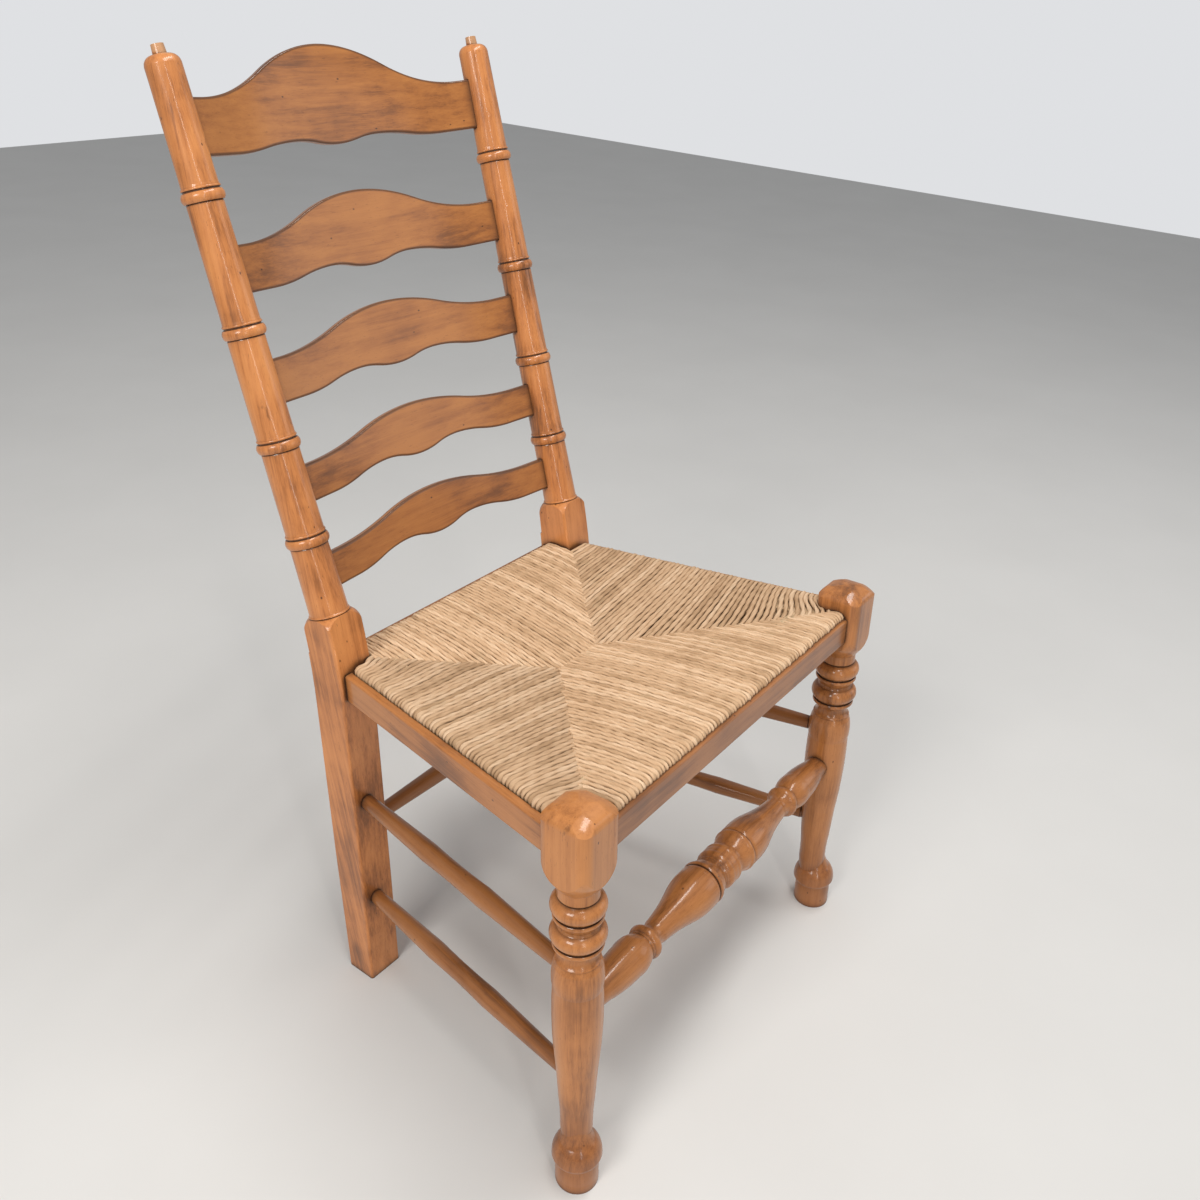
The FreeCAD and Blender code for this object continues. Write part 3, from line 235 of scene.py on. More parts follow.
def wood(name, grain, seed, light=(0.53, 0.212, 0.062), middle=(0.40, 0.146, 0.038), deep=(0.16, 0.056, 0.016),
         stain=0.0, foot=None, stub=None, board=False):
    """Stained and lacquered wood whose grain runs along a direction.

    foot and stub are spans of height over which the darkening towards the foot ends and the raw stub begins.
    """
    f = Finish(name)
    place = f.place()
    local, bent = along_grain(f, place, grain, seed)
    fibre = f.noise(f.stretched(bent, FIBRE), 1.0, 5.0, 0.65)
    streak = f.noise(f.stretched(bent, STREAK), 1.0, 4.0, 0.6)
    band = f.noise(f.stretched(bent, BAND), 1.0, 3.0, 0.5)
    cloud = f.noise(local, CLOUD, 3.0, 0.5)
    blotch = f.noise(f.stretched(local, BLOTCH), 1.0, 4.0, 0.6)
    tone = (band * 0.6 + streak * 0.6 + fibre * 0.4 + cloud * 0.9 + blotch * 0.5) / 3.0
    colour = f.mix(tone.between(0.37, 0.51), deep, middle)
    colour = f.mix(tone.between(0.44, 0.60), colour, light)

    dash = f.noise(f.stretched(bent, DASH), 1.0, 2.0, 0.5).between(0.66, 0.72)
    colour = f.mix(dash * 0.45, colour, tuple(c * 0.5 for c in deep))
    hole = pin_holes(f, local)
    colour = f.mix(hole * 0.8, colour, PIN_HOLE_AND_CREASE_SHADE)
    scuff = f.noise(f.stretched(bent, SCUFF), 1.0, 6.0, 0.7).between(0.66, 0.74)
    colour = f.mix(scuff * 0.5, colour, tuple(c * 0.6 for c in deep))

    # painted shade in creases and grooves, darker where the surface is less open; it also roughens them
    crease_shade = 1.0 - f.openness(0.013, 8).between(0.35, 0.97)
    colour = f.mix(crease_shade * 0.9, colour, CREASE_SHADE_BROWN)
    # painted shade in the narrowest creases, in the same dark brown as the pin holes
    fine_crease_shade = 1.0 - f.openness(0.0035, 6).between(0.45, 0.93)
    colour = f.mix(fine_crease_shade * 0.85, colour, PIN_HOLE_AND_CREASE_SHADE)
    if board:
        # darker along the slats' rounded edges
        colour = f.mix(f.attribute("edge") * 0.75, colour, ROUNDED_EDGE_DARK)
        # stain and painted shade on the slat beside each post
        colour = f.mix(f.attribute("ends") * (0.35 + cloud * 0.6), colour, POST_SIDE_STAIN_AND_SHADE)
    if stain:
        colour = f.mix(stain, colour, BROWN_STAIN)
    height = f.node("ShaderNodeSeparateXYZ", {}, {"Vector": place}, output=2)
    if foot:
        # darker towards the bottom of the legs
        colour = f.mix((1.0 - height.between(*foot)) * 0.40, colour, LOW_LEG_DARK)
    if stub:
        colour = f.mix(height.between(*stub) * 0.55, colour, RAW_WOOD)
    relief = f.bump(fibre * 0.6 + streak * 0.4 - hole * 1.5 - scuff * 0.5, 0.0003, 0.30)
    return f.surface(Base_Color=colour, Roughness=0.36 + fibre * 0.10 + cloud * 0.10 + crease_shade * 0.25,
                     Coat_Weight=0.65, Coat_Roughness=0.14, Specular_IOR_Level=0.25, Normal=relief)


def bare_wood():
    f = Finish("bare_frame_wood")
    fibre = f.noise(f.stretched(f.place(), (60.0, 300.0, 300.0)), 1.0, 4.0)
    colour = f.mix(fibre.between(0.35, 0.65), (0.32, 0.20, 0.10), (0.56, 0.40, 0.24))
    return f.surface(Base_Color=colour, Roughness=0.75, Normal=f.bump(fibre, 0.0004, 0.4))


def dull_steel():
    f = Finish("dull_steel")
    spot = f.noise(f.place(), 700.0, 3.0)
    colour = f.mix(spot.between(0.4, 0.7), (0.30, 0.28, 0.26), (0.12, 0.09, 0.07))
    return f.surface(Base_Color=colour, Metallic=0.9, Roughness=0.35 + spot * 0.3)


def rush_cord_finish(name, shade=0.0):
    """Twisted rush cord: pale straw with browner leaves and painted shade in the hollows between the cords."""
    f = Finish(name)
    along, around, tone, lift = (f.attribute(word) for word in ("along", "around", "tone", "lift"))
    place = f.place()
    leaf = f.noise(f.vector(along * 60.0, around * 3.0 + along * 55.0, tone * 40.0), 1.0, 4.0, 0.6)
    fine = f.noise(f.vector(along * 120.0, around * 26.0 + along * 480.0, tone * 90.0), 1.0, 3.0, 0.6)
    patch = f.noise(place, 26.0, 3.0, 0.55)
    mixed = leaf * 0.8 + tone * 0.5 + patch * 0.5
    colour = f.mix(mixed.between(0.55, 0.90), (0.46, 0.285, 0.155), (0.70, 0.465, 0.28))
    colour = f.mix(mixed.between(0.88, 1.22), colour, (0.88, 0.635, 0.42))
    green = f.noise(place, 60.0, 2.0).between(0.58, 0.72)
    colour = f.mix(green * 0.20, colour, (0.44, 0.34, 0.20))
    colour = f.mix(fine.between(0.30, 0.62) * 0.25, f.mix(0.25, colour, (0.42, 0.26, 0.14)), colour)
    # painted shade in the hollows between the cords
    hollow_shade = 1.0 - f.openness(0.006, 6).between(0.12, 0.80)
    colour = f.mix(hollow_shade * 0.75, colour, (0.20, 0.11, 0.05))
    # painted shade in the grooves between the cord's lobes
    colour = f.mix((1.0 - lift) * 0.22, colour, (0.34, 0.20, 0.10))
    # a copy with painted shade, for the side fields
    if shade:
        colour = f.mix(shade, colour, (0.10, 0.06, 0.03))
    twist = f.bump(fine * 0.5 + leaf * 0.5, 0.0007, 0.6)
    return f.surface(Base_Color=colour, Roughness=0.62 + fine * 0.2, Normal=twist, Specular_IOR_Level=0.35)


# dark packed rush; under the cords it is painted shade between them
def packed_rush_and_shadow_finish():
    f = Finish("rush_shadow")
    leaf = f.noise(f.place(), 300.0, 3.0)
    colour = f.mix(leaf.between(0.4, 0.6), (0.20, 0.115, 0.055), (0.34, 0.21, 0.11))
    return f.surface(Base_Color=colour, Roughness=0.9)


# Slats

POST_LEAN = math.radians(14.72)
POST_SPLAY = math.radians(1.1)
POST_LENGTH = 602.0       # from the bend to the top
POST_RADIUS = 21.3        # at the bend
POST_RADIUS_TOP = 17.2
BACK_HALF = 200.0         # from the middle to a post at its bend
BEND = 458.0              # its height
SLAT_THICK = 9.0
SLAT_TENON = 13.0
ARCH_REACH = 57.0         # from the middle to the high point of a slat's lower edge
ARCH_FOOT = 145.0         # and to the place where that edge turns level
EDGE_ROUND = 1.9
EDGE_STEPS = 4
EDGE_BAND = 1.3           # width over which the dark edge fades
END_BAND = 11.0           # width over which the stain and painted shade beside a post fade
STATIONS = 181

# name, height of the lower edge on the post, depth at the post, hump above it, reach of the hump,
# rise of the arches, drop of the middle lobe and sag of the bow
SLATS = [
    ("ladder_slat_1", 511.5, 53.5, 49.0, 175.0, 8.0, -1.7, 33.0),
    ("ladder_slat_2", 381.5, 47.0, 36.0, 172.0, 9.7, -2.0, 28.0),
    ("ladder_slat_3", 269.0, 46.0, 28.3, 168.0, 10.3, -3.3, 24.0),
    ("ladder_slat_4", 162.5, 40.2, 23.0, 164.0, 11.0, -3.3, 21.5),
    ("ladder_slat_5", 66.0, 39.0, 20.5, 158.0, 11.4, -3.0, 19.5),
]


def post_point(along):
    """A point of the right post's axis, measured along the post from its bend."""
    lean, splay = POST_LEAN, POST_SPLAY
    return Vector((BACK_HALF + along * math.cos(lean) * math.sin(splay), LEG_DEPTH + along * math.sin(lean),
                   BEND + along * math.cos(lean) * math.cos(splay)))


def post_radius(along):
    return POST_RADIUS + (POST_RADIUS_TOP - POST_RADIUS) * along / POST_LENGTH


def double_bend(start, end, share=0.5, steps=24):
    """Points of two equal tangent arcs from one level line to another."""
    run, rise = end[0] - start[0], end[1] - start[1]
    angle = math.atan2(rise, abs(run))
    points = []
    for side, a, b in ((-1, 0.0, share), (1, share, 1.0)):
        chord = run * (b - a)
        for k in range(steps):
            t = k / steps
            swing = math.tan(angle / 2) * 2 * t * (1 - t)
            points.append((start[0] + run * a + chord * t,
                           start[1] + rise * a + rise * (b - a) * t + side * abs(chord) * swing))
    return points + [end]


def slat_outline(slat, x):
    """Upper and lower edge of a slat at a distance from its middle."""
    _, _, deep, hump, reach, arch, lobe, _ = slat
    top = double_bend((reach, deep), (0, deep + hump), 0.515)
    low = double_bend((-ARCH_FOOT, 0), (-ARCH_REACH, arch)) + double_bend((-ARCH_REACH, arch), (0, -lobe))[1:]
    tops = np.array(top[::-1])
    lows = np.array(low)
    away = np.abs(x)
    upper = np.interp(away, tops[:, 0], tops[:, 1], right=deep)
    lower = np.interp(-away, lows[:, 0], lows[:, 1], left=0.0)
    return upper, lower


def mesh_piece(name, points, faces, attributes=None, edges=(), smooth=True):
    mesh = bpy.data.meshes.new(name)
    mesh.from_pydata([tuple(p) for p in points], list(edges), [tuple(face) for face in faces])
    mesh.update()
    for label, values in (attributes or {}).items():
        mesh.attributes.new(label, "FLOAT", "POINT").data.foreach_set("value", np.asarray(values, np.float32))
    mesh.polygons.foreach_set("use_smooth", np.full(len(mesh.polygons), smooth))
    piece = bpy.data.objects.new(name, mesh)
    bpy.context.scene.collection.objects.link(piece)
    return piece


def grid_faces(rows, columns):
    """Quads between rings that close on themselves."""
    faces = []
    for i in range(rows - 1):
        for j in range(columns):
            k = (j + 1) % columns
            faces.append((i * columns + j, i * columns + k, (i + 1) * columns + k, (i + 1) * columns + j))
    return faces


def fix_normals(piece):
    """Turns the faces outwards."""
    work = bmesh.new()
    work.from_mesh(piece.data)
    bmesh.ops.recalc_face_normals(work, faces=work.faces)
    work.to_mesh(piece.data)
    work.free()


def edge_ring():
    """The board's section: distance across, whether a point follows the top edge, its height from
    that edge and how much it carries of the dark edge."""
    ring = []
    for turn, side, top in ((180.0, -1, False), (270.0, 1, False), (0.0, 1, True), (90.0, -1, True)):
        for k in range(-1, EDGE_STEPS + 2):
            flat = k in (-1, EDGE_STEPS + 1)
            angle = math.radians(min(max(k, 0), EDGE_STEPS) * 90.0 / EDGE_STEPS + turn)
            across = side * (SLAT_THICK / 2 - EDGE_ROUND) + math.cos(angle) * EDGE_ROUND
            height = math.sin(angle) * EDGE_ROUND
            if flat and abs(math.cos(angle)) > 0.5:
                height += -EDGE_BAND if top else EDGE_BAND
            elif flat:
                across -= side * EDGE_BAND
            ring.append((across, top, height, 0.0 if flat else 1.0))
    return ring


def slat_board(slat):
    """The bent board with softened edges; its ends stop inside the posts."""
    name, low, deep, *_, sag = slat
    half = post_point(low + deep / 2).x
    bow = (half * half + sag * sag) / (2 * sag)
    end = half - post_radius(low) + SLAT_TENON
    ring = edge_ring()
    across, rise, edge = (np.array([point[i] for point in ring]) for i in (0, 2, 3))
    top = [point[1] for point in ring]
    points, edges, ends = [], [], []
    for x in np.linspace(-end, end, STATIONS):
        slope = x / bow
        xs = x + slope * across
        ys = sag - bow + math.sqrt(bow * bow - x * x) + math.sqrt(1 - slope * slope) * across
        upper, lower = slat_outline(slat, xs)
        zs = np.where(top, upper - EDGE_ROUND, lower + EDGE_ROUND) + rise
        points += list(zip(xs, ys, zs))
        edges += list(edge)
        near_post = min(1.0, max(0.0, (abs(x) - (end - SLAT_TENON - 9.0)) / END_BAND))
        ends += [near_post ** 1.5] * len(ring)
    faces = grid_faces(STATIONS, len(ring))
    faces.append(tuple(range(len(ring)))[::-1])
    faces.append(tuple((STATIONS - 1) * len(ring) + j for j in range(len(ring))))
    base = post_point(low)
    lean = Matrix.Rotation(-POST_LEAN, 3, "X")
    placed = np.array(points) @ np.array(lean.transposed()) + np.array([0.0, base.y, base.z])
    board = mesh_piece(name + "_board", leaned(placed), faces, {"edge": edges, "ends": ends})
    fix_normals(board)
    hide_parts(name)
    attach(board, "root")
    return board


# Rush seat: every cord comes up over a rail, runs in to a seam and dips under the next field

RUSH_RADIUS = 2.85
PITCH = 5.5               # from one cord to the next
CREST = 444.9             # height of the cords over the rails
SEAM_HIGH = 443.2         # height of a seam at its corner
SEAM_LOW = 417.6          # and in the middle of the seat
UNDER_EDGE = 426.6        # height of the lower cords at the rails
UNDER_SLOPE = 0.76        # how much of the upper cords' dip the lower ones take
FRONT_EDGE = -9.6
BACK_EDGE = 390.0
FRONT_HALF = 236.0        # half width of the front field's edge
REAR_HALF = 173.0         # and of the back field's
SIDE_FIRST, SIDE_LAST = 32.0, 351.0
SIDE_FRONT = (280.0, 28.0)
SIDE_BACK = (217.0, 356.5)
SIDE_INSET = 12.9
RISE = ((4.0, 430.0), (2.4, 434.0), (0.8, 438.4), (0.0, 441.6), (1.3, 444.0), (4.6, 445.0))
ROLL = 9.0                # where the cord has come over the edge
SWELL = 2.2               # how much a long cord bellies up on its way in
DIVE = ((2.6, 1.4), (5.0, 5.6))
UNDER_FROM = 9            # the point of a cord from which it also shows below
SHORT_CORD = 13           # points of a cord too short to show there
SEAMS = {
    "front_left": ((-238.0, 15.0), (-34.0, 206.0)),
    "front_right": ((238.0, 3.0), (35.0, 206.0)),
    "back_left": ((-177.0, 359.0), (-34.0, 206.0)),
    "back_right": ((176.0, 353.0), (35.0, 206.0)),
}


def side_edge(y):
    """Distance of the side rails' outer face from the middle."""
    share = (y - SIDE_FRONT[1]) / (SIDE_BACK[1] - SIDE_FRONT[1])
    return SIDE_FRONT[0] + (SIDE_BACK[0] - SIDE_FRONT[0]) * share


def seam_at(first, second, value, axis):
    """The point of the seams at a given x or y, and how far in it lies (0 corner, 1 middle)."""
    for corner, middle in (SEAMS[first], SEAMS[second]):
        share = (value - corner[axis]) / (middle[axis] - corner[axis])
        if 0 <= share <= 1:
            return [a + (b - a) * share for a, b in zip(corner, middle)], share
    if axis == 0:
        return (value, SEAMS[first][1][1]), 1.0
    return min((SEAMS[first][0], SEAMS[second][0]), key=lambda corner: abs(corner[1] - value)), 0.0


def cord_path(edge, inward, target, share):
    """One cord from inside the rebate, over the rail and along to its seam."""
    edge, inward, target = Vector(edge), Vector(inward).normalized(), Vector(target)
    points = [(edge.x + inward.x * d, edge.y + inward.y * d, z) for d, z in RISE]
    start = edge + inward * ROLL
    reach = (target - start).length
    if abs(inward.y) > 0.7:
        settle = Vector((0.0, 1.0 if target.y > edge.y else -1.0))
    else:
        settle = Vector((1.0 if inward.x > 0 else -1.0, 0.0))
    a, b = start + inward * reach * 0.35, target - settle * reach * 0.30
    low = SEAM_HIGH + (SEAM_LOW - SEAM_HIGH) * share
    count = max(3, int(reach / 9))
    for k in range(count + 1):
        t = k / count
        spot = start * (1 - t) ** 3 + a * (3 * t * (1 - t) ** 2) + b * (3 * t * t * (1 - t)) + target * t ** 3
        belly = SWELL * math.sin(math.pi * t) * min(1.0, reach / 120)
        points.append((spot.x, spot.y, CREST + (low - CREST) * t ** 1.12 + belly))
    points[-1] = (*points[-1][:2], points[-1][2] + 0.2)
    points += [(target.x + settle.x * d, target.y + settle.y * d, low - drop) for d, drop in DIVE]
    return points


def field_cords():
    """All the cords of the upper layer, field by field."""
    fields = {"front": [], "back": [], "left": [], "right": []}
    for field, edge_y, half, way in (("front", FRONT_EDGE, FRONT_HALF, 1.0), ("back", BACK_EDGE, REAR_HALF, -1.0)):
        count = int(2 * half / PITCH)
        for k in range(count + 1):
            x = -half + 2 * half * k / count
            target, share = seam_at(f"{field}_left", f"{field}_right", x, 0)
            fields[field].append(cord_path((x, edge_y), (0.0, way), target, share))
    splay = (SIDE_FRONT[0] - SIDE_BACK[0]) / (SIDE_BACK[1] - SIDE_FRONT[1])
    for field, side in (("left", -1), ("right", 1)):
        count = int((SIDE_LAST - SIDE_FIRST) / PITCH)
        start_y, end_y = SEAMS[f"front_{field}"][0][1] + 3, SEAMS[f"back_{field}"][0][1] - 1
        for k in range(count + 1):
            t = k / count
            y = SIDE_FIRST + (SIDE_LAST - SIDE_FIRST) * t
            target, share = seam_at(f"front_{field}", f"back_{field}", start_y + (end_y - start_y) * t, 1)
            inward = (-side, -splay * 0.9)
            fields[field].append(cord_path((side * (side_edge(y) - SIDE_INSET), y), inward, target, share))
    return fields


def under_cord(cord):
    """The same cord's way back below the seat frame, from the rail's inner face to the seam."""
    return [(x, y, UNDER_EDGE - (CREST - z) * UNDER_SLOPE) for x, y, z in cord[UNDER_FROM:-len(DIVE)]]


def smooth_path(points, step):
    """A Catmull-Rom curve through the points, sampled at an even step."""
    p = np.array(points, float)
    p = np.vstack([2 * p[0] - p[1], p, 2 * p[-1] - p[-2]])
    found = []
    for i in range(1, len(p) - 2):
        a, b, c, d = p[i - 1:i + 3]
        for t in np.linspace(0, 1, 8, endpoint=False):
            found.append(0.5 * (2 * b + (c - a) * t + (2 * a - 5 * b + 4 * c - d) * t * t
                                + (3 * b - a - 3 * c + d) * t ** 3))
    found.append(p[-2])
    found = np.array(found)
    run = np.concatenate([[0], np.cumsum(np.linalg.norm(np.diff(found, axis=0), axis=1))])
    even = np.linspace(0, run[-1], max(3, int(run[-1] / step) + 1))
    return np.stack([np.interp(even, run, found[:, axis]) for axis in range(3)], axis=1), even


def cord_lines(name, cords, step):
    """A mesh of lines with what each cord needs: its radius, twist, tone and length."""
    points, edges, values = [], [], {"size": [], "turn": [], "tone": [], "along": []}
    for cord in cords:
        path, run = smooth_path(cord, step)
        sway = rng.normal(0, 0.28, (2, 3))
        phase = rng.uniform(0, 6.3)
        wave = np.sin(run / 31.0 + phase)[:, None] * sway[0] + np.sin(run / 73.0 + 2 * phase)[:, None] * sway[1]
        wave[:, 2] *= 0.7
        path = path + wave
        first = len(points)
        points += list(leaned(path))
        edges += [(first + i, first + i + 1) for i in range(len(path) - 1)]
        thick = RUSH_RADIUS * rng.uniform(0.92, 1.10)
        swell = 1 + 0.07 * np.sin(run / rng.uniform(9, 16) + phase)
        values["size"] += list(thick * swell / 1000)
        lay = rng.uniform(15.0, 21.0)
        values["turn"] += list(run / lay * 2 * math.pi / 3 + phase)
        values["tone"] += [rng.uniform(0, 1)] * len(path)
        values["along"] += list((run + rng.uniform(0, 900)) / 1000)
    return mesh_piece(name, points, [], values, edges)


class Tree:
    """A geometry node group with named inputs."""

    def __init__(self, name):
        self.group = bpy.data.node_groups.new(name, "GeometryNodeTree")
        self.group.interface.new_socket("Geometry", in_out="INPUT", socket_type="NodeSocketGeometry")
        self.group.interface.new_socket("Geometry", in_out="OUTPUT", socket_type="NodeSocketGeometry")
        self.start = self.group.nodes.new("NodeGroupInput")
        self.end = self.group.nodes.new("NodeGroupOutput")

    def input(self, name, kind, value):
        socket = self.group.interface.new_socket(name, in_out="INPUT", socket_type=kind)
        if value is not None:
            socket.default_value = value
        return self.start.outputs[name]

    def node(self, kind, settings=None, sockets=None):
        node = self.group.nodes.new(kind)
        for name, value in (settings or {}).items():
            setattr(node, name, value)
        for name, value in (sockets or {}).items():
            if isinstance(value, bpy.types.NodeSocket):
                self.group.links.new(value, node.inputs[name])
            else:
                node.inputs[name].default_value = value
        return node

    def field(self, name):
        return self.node("GeometryNodeInputNamedAttribute", {"data_type": "FLOAT"}, {"Name": name}).outputs[0]

    def sum(self, operation, a, b):
        return self.node("ShaderNodeMath", {"operation": operation}, {0: a, 1: b}).outputs[0]

    def store(self, geometry, name, value):
        return self.node("GeometryNodeStoreNamedAttribute", {"data_type": "FLOAT", "domain": "POINT"},
                         {"Geometry": geometry, "Name": name, "Value": value}).outputs[0]


def rope_tree():
    """Winds a lobed cord along every line."""
    t = Tree("rush_cord")
    sides = t.input("Sides", "NodeSocketInt", 12)
    lobes = t.input("Lobe depth", "NodeSocketFloat", 0.13)
    count = t.input("Lobes", "NodeSocketFloat", 3.0)
    finish = t.input("Finish", "NodeSocketMaterial", None)
    curve = t.node("GeometryNodeMeshToCurve", {}, {"Mesh": t.start.outputs[0]}).outputs[0]
    curve = t.node("GeometryNodeSetCurveTilt", {}, {"Curve": curve, "Tilt": t.field("turn")}).outputs[0]
    curve = t.node("GeometryNodeSetCurveRadius", {}, {"Curve": curve, "Radius": t.field("size")}).outputs[0]
    circle = t.node("GeometryNodeCurvePrimitiveCircle", {"mode": "RADIUS"}, {"Resolution": sides, "Radius": 1.0})
    circle = circle.outputs[0]
    place = t.node("GeometryNodeInputPosition").outputs[0]
    split = t.node("ShaderNodeSeparateXYZ", {}, {"Vector": place})
    angle = t.sum("ARCTAN2", split.outputs["Y"], split.outputs["X"])
    wave = t.node("ShaderNodeMath", {"operation": "COSINE"}, {0: t.sum("MULTIPLY", angle, count)}).outputs[0]
    scale = t.sum("ADD", 1.0, t.sum("MULTIPLY", wave, lobes))
    moved = t.node("ShaderNodeVectorMath", {"operation": "SCALE"}, {0: place, "Scale": scale}).outputs[0]
    circle = t.store(circle, "around", t.sum("DIVIDE", angle, 2 * math.pi))
    circle = t.store(circle, "lift", t.sum("ADD", t.sum("MULTIPLY", wave, 0.5), 0.5))
    circle = t.node("GeometryNodeSetPosition", {}, {"Geometry": circle, "Position": moved}).outputs[0]
    swept = t.node("GeometryNodeCurveToMesh", {}, {"Curve": curve, "Profile Curve": circle, "Fill Caps": True})
    if "Scale" in swept.inputs:
        t.group.links.new(t.field("size"), swept.inputs["Scale"])
    shade = t.node("GeometryNodeSetShadeSmooth", {}, {"Geometry": swept.outputs[0]}).outputs[0]
    whole = t.node("GeometryNodeRealizeInstances", {}, {"Geometry": shade}).outputs[0]
    done = t.node("GeometryNodeSetMaterial", {}, {"Geometry": whole, "Material": finish}).outputs[0]
    t.group.links.new(done, t.end.inputs[0])
    return t


def wound(tree, lines, name, settings):
    """Runs the tree on the lines and keeps the plain mesh."""
    modifier = lines.modifiers.new("rope", "NODES")
    modifier.node_group = tree.group
    for item in tree.group.interface.items_tree:
        if item.in_out == "INPUT" and item.name in settings:
            modifier[item.identifier] = settings[item.name]
    graph = bpy.context.evaluated_depsgraph_get()
    mesh = bpy.data.meshes.new_from_object(lines.evaluated_get(graph), depsgraph=graph)
    lines.modifiers.clear()
    piece = bpy.data.objects.new(name, mesh)
    bpy.context.scene.collection.objects.link(piece)
    bpy.data.objects.remove(lines)
    return piece


def show_rush(piece):
    """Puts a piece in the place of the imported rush."""
    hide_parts("rush_weave")
    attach(piece, "root")


def rush_seat():
    tree = rope_tree()
    bright = rush_cord_finish("rush_cord")
    # the side fields get a copy of the cord with painted shade
    shaded = rush_cord_finish("rush_cord_shaded_side", 0.14)
    fields = field_cords()
    for field, cords in fields.items():
        lines = cord_lines(f"lines_{field}", cords, 2.6)
        finish = shaded if field in ("left", "right") else bright
        show_rush(wound(tree, lines, f"rush_{field}", {"Sides": 12, "Lobe depth": 0.12, "Finish": finish}))
    below = [under_cord(cord) for cords in fields.values() for cord in cords if len(cord) > SHORT_CORD]
    lines = cord_lines("lines_below", below, 5.0)
    show_rush(wound(tree, lines, "rush_below", {"Sides": 7, "Lobe depth": 0.10, "Finish": bright}))
    bed = rush_bed()
    show_rush(bed)
    bed.data.materials.append(packed_rush_and_shadow_finish())


def rush_bed():
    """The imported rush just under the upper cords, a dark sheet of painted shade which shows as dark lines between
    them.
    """
    inset = SIDE_INSET + 4
    wide, narrow = side_edge(30.0) - inset, side_edge(353.0) - inset
    right_side = [(235.0, -5.0), (235.0, 30.0), (wide, 30.0), (narrow, 353.0), (172.0, 353.0), (172.0, 386.0)]
    left_side = [(-x, y) for x, y in right_side[::-1]]
    rim = left_side[-1:] + right_side + left_side[:-1]
    middle = [SEAMS["front_left"][1], SEAMS["front_right"][1]]
    n = len(rim)
    upper, lower = n * [CREST - 2.6] + [SEAM_LOW - 3.2] * 2, n * [430.0] + [408.5] * 2
    points = [(x, y, z) for heights in (upper, lower) for (x, y), z in zip(rim + middle, heights)]
    faces = []
    for i in range(n):
        j = (i + 1) % n
        a, b = (n if rim[k][0] < 0 else n + 1 for k in (i, j))
        ring = (i, j, b, a) if a != b else (i, j, a)
        faces += [ring, tuple(k + n + 2 for k in ring)[::-1], (j, i, n + 2 + i, n + 2 + j)]
    bed = mesh_piece("rush_bed", leaned(points), faces, smooth=False)
    fix_normals(bed)
    return bed


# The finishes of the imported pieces

def paint(node, material):
    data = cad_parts[node].data
    data.materials.clear()
    data.materials.append(material)


def finish_woods():
    for seed, (word, turn) in enumerate((("left", 1), ("right", -1))):
        paint(f"front_leg_{word}", wood(f"leg_wood_{word}", leaned_direction(0, 0, 1), 3 + seed, foot=(0.05, 0.13)))
        paint(f"back_post_{word}", wood(f"post_wood_{word}", leaned_direction(0, 0.16, 1), 5 + seed,
                                        light=(0.64, 0.255, 0.078), middle=(0.47, 0.165, 0.045),
                                        stub=(1.036, 1.038)))
        paint(f"seat_rail_{word}", wood(f"side_rail_wood_{word}", (0.2 * turn, 1, 0), 9 + seed, stain=0.12))
        for step, level in enumerate(("lower", "upper")):
            paint(f"side_stretcher_{level}_{word}",
                  wood(f"side_rod_wood_{level}_{word}", (0.17 * turn, 1, 0), 12 + 2 * seed + step, stain=0.42))
    for seed, (node, stain) in enumerate((("seat_rail_front", 0.30), ("seat_rail_back", 0.45),
                                          ("front_stretcher", 0.12), ("back_stretcher", 0.5)), start=20):
        paint(node, wood(f"{node}_wood", (1, 0, 0), seed, stain=stain))
    bare, steel, filling = bare_wood(), dull_steel(), packed_rush_and_shadow_finish()
    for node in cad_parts:
        if node.endswith(("screws", "brads")):
            paint(node, steel)
        elif node.startswith(("slip_frame", "corner_block_")):
            paint(node, bare)
        elif node.startswith("rush_stuffing"):
            paint(node, filling)


def slat_boards():
    for number, slat in enumerate(SLATS, start=1):
        board = slat_board(slat)
        board.data.materials.append(wood(f"slat_wood_{number}", (1, 0, 0), 30 + number, light=(0.43, 0.165, 0.038),
                                         middle=(0.32, 0.111, 0.025), board=True))


# Lights, floor and camera

def area_light(name, place, aim, size, power, colour):
    data = bpy.data.lights.new(name, "AREA")
    data.shape = "RECTANGLE"
    data.size, data.size_y = size
    data.energy = power
    data.color = colour
    lamp = bpy.data.objects.new(name, data)
    lamp.location = place
    lamp.rotation_euler = (Vector(aim) - Vector(place)).to_track_quat("-Z", "Y").to_euler()
    bpy.context.scene.collection.objects.link(lamp)


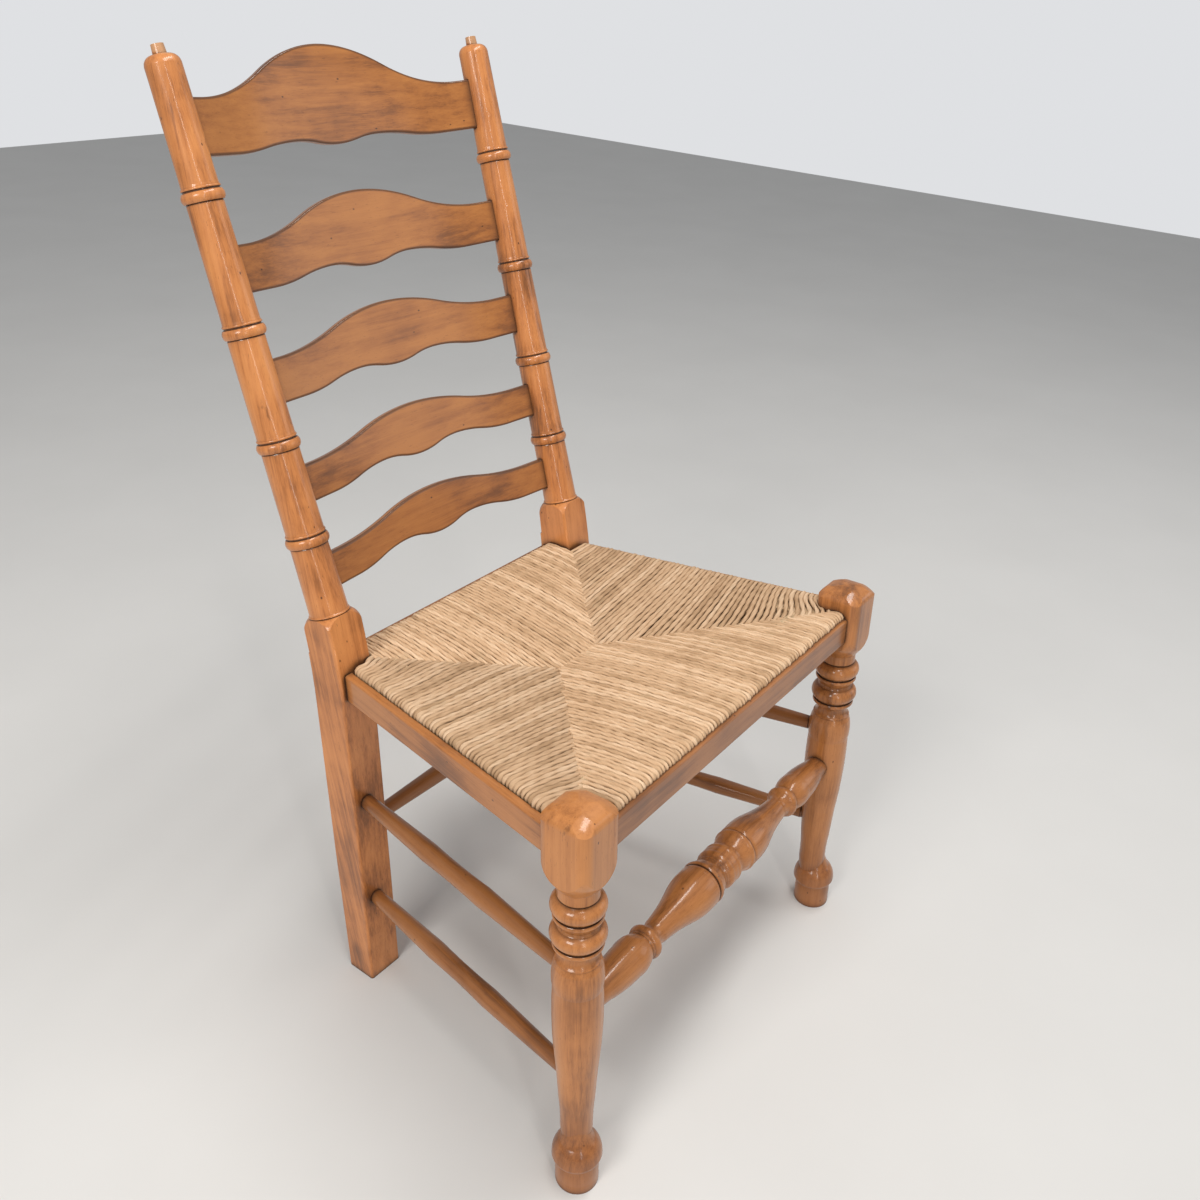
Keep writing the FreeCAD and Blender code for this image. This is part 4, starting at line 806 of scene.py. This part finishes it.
def studio():
    """A pale floor, soft lights and a pale background that the lights don't see."""
    reach = 6.0
    floor = mesh_piece("floor", [(-reach, -reach, 0), (reach, -reach, 0), (reach, reach, 0), (-reach, reach, 0)],
                       [(0, 1, 2, 3)])
    f = Finish("floor_paint")
    cloud = f.noise(f.place(), 3.0, 4.0)
    floor.data.materials.append(f.surface(Base_Color=f.mix(cloud, (0.66, 0.65, 0.63), (0.72, 0.71, 0.69)),
                                          Roughness=0.85))
    world = bpy.data.worlds.new("studio")
    bpy.context.scene.world = world
    sky = Nodes(world)
    seen = sky.node("ShaderNodeLightPath")
    soft = sky.node("ShaderNodeBackground", {}, {"Color": (0.95, 0.97, 1.0, 1), "Strength": 0.38})
    pale = sky.node("ShaderNodeBackground", {}, {"Color": (0.74, 0.75, 0.77, 1), "Strength": 1.0})
    picked = sky.node("ShaderNodeMixShader", {}, {0: seen, 1: soft, 2: pale})
    sky.node("ShaderNodeOutputWorld", {}, {"Surface": picked})
    area_light("key", (-2.9, -0.3, 2.4), (0, 0, 0.5), (1.2, 1.2), 60, (1.0, 0.97, 0.93))
    area_light("ceiling", (0.2, -0.6, 3.0), (0, 0, 0.4), (2.4, 0.5), 47, (1.0, 0.98, 0.95))
    area_light("fill", (2.4, -2.2, 1.5), (0, 0, 0.5), (1.6, 1.6), 9, (0.95, 0.97, 1.0))
    area_light("strip", (-1.7, -2.5, 1.7), (0, 0, 0.6), (0.12, 2.4), 14, (1.0, 0.98, 0.96))


FOCAL = 1136.4 / 1200     # in widths of the picture
CAMERA_SPOT = (-897.5, -479.4, 1094.0)
CAMERA_TURN = math.radians(-53.86)
CAMERA_PITCH = math.radians(28.0)
CAMERA_ROLL = math.radians(1.064)


def camera():
    level = math.cos(CAMERA_PITCH)
    ahead = Vector((-math.sin(CAMERA_TURN) * level, math.cos(CAMERA_TURN) * level, -math.sin(CAMERA_PITCH)))
    right = ahead.cross(Vector((0, 0, 1))).normalized()
    up = right.cross(ahead)
    c, n = math.cos(CAMERA_ROLL), math.sin(CAMERA_ROLL)
    right, up = right * c + up * n, up * c - right * n
    axes = [leaned_direction(*v) for v in (right, up, -ahead)]
    data = bpy.data.cameras.new("camera")
    data.sensor_width = 36.0
    data.lens = 36.0 * FOCAL
    data.clip_start = 0.05
    data.clip_end = 50.0
    eye = bpy.data.objects.new("camera", data)
    eye.matrix_world = Matrix.Translation(Vector(leaned([CAMERA_SPOT])[0])) @ Matrix(axes).transposed().to_4x4()
    bpy.context.scene.collection.objects.link(eye)
    bpy.context.scene.camera = eye


finish_woods()
slat_boards()
rush_seat()
studio()
camera()
bpy.context.scene.view_settings.view_transform = "Standard"
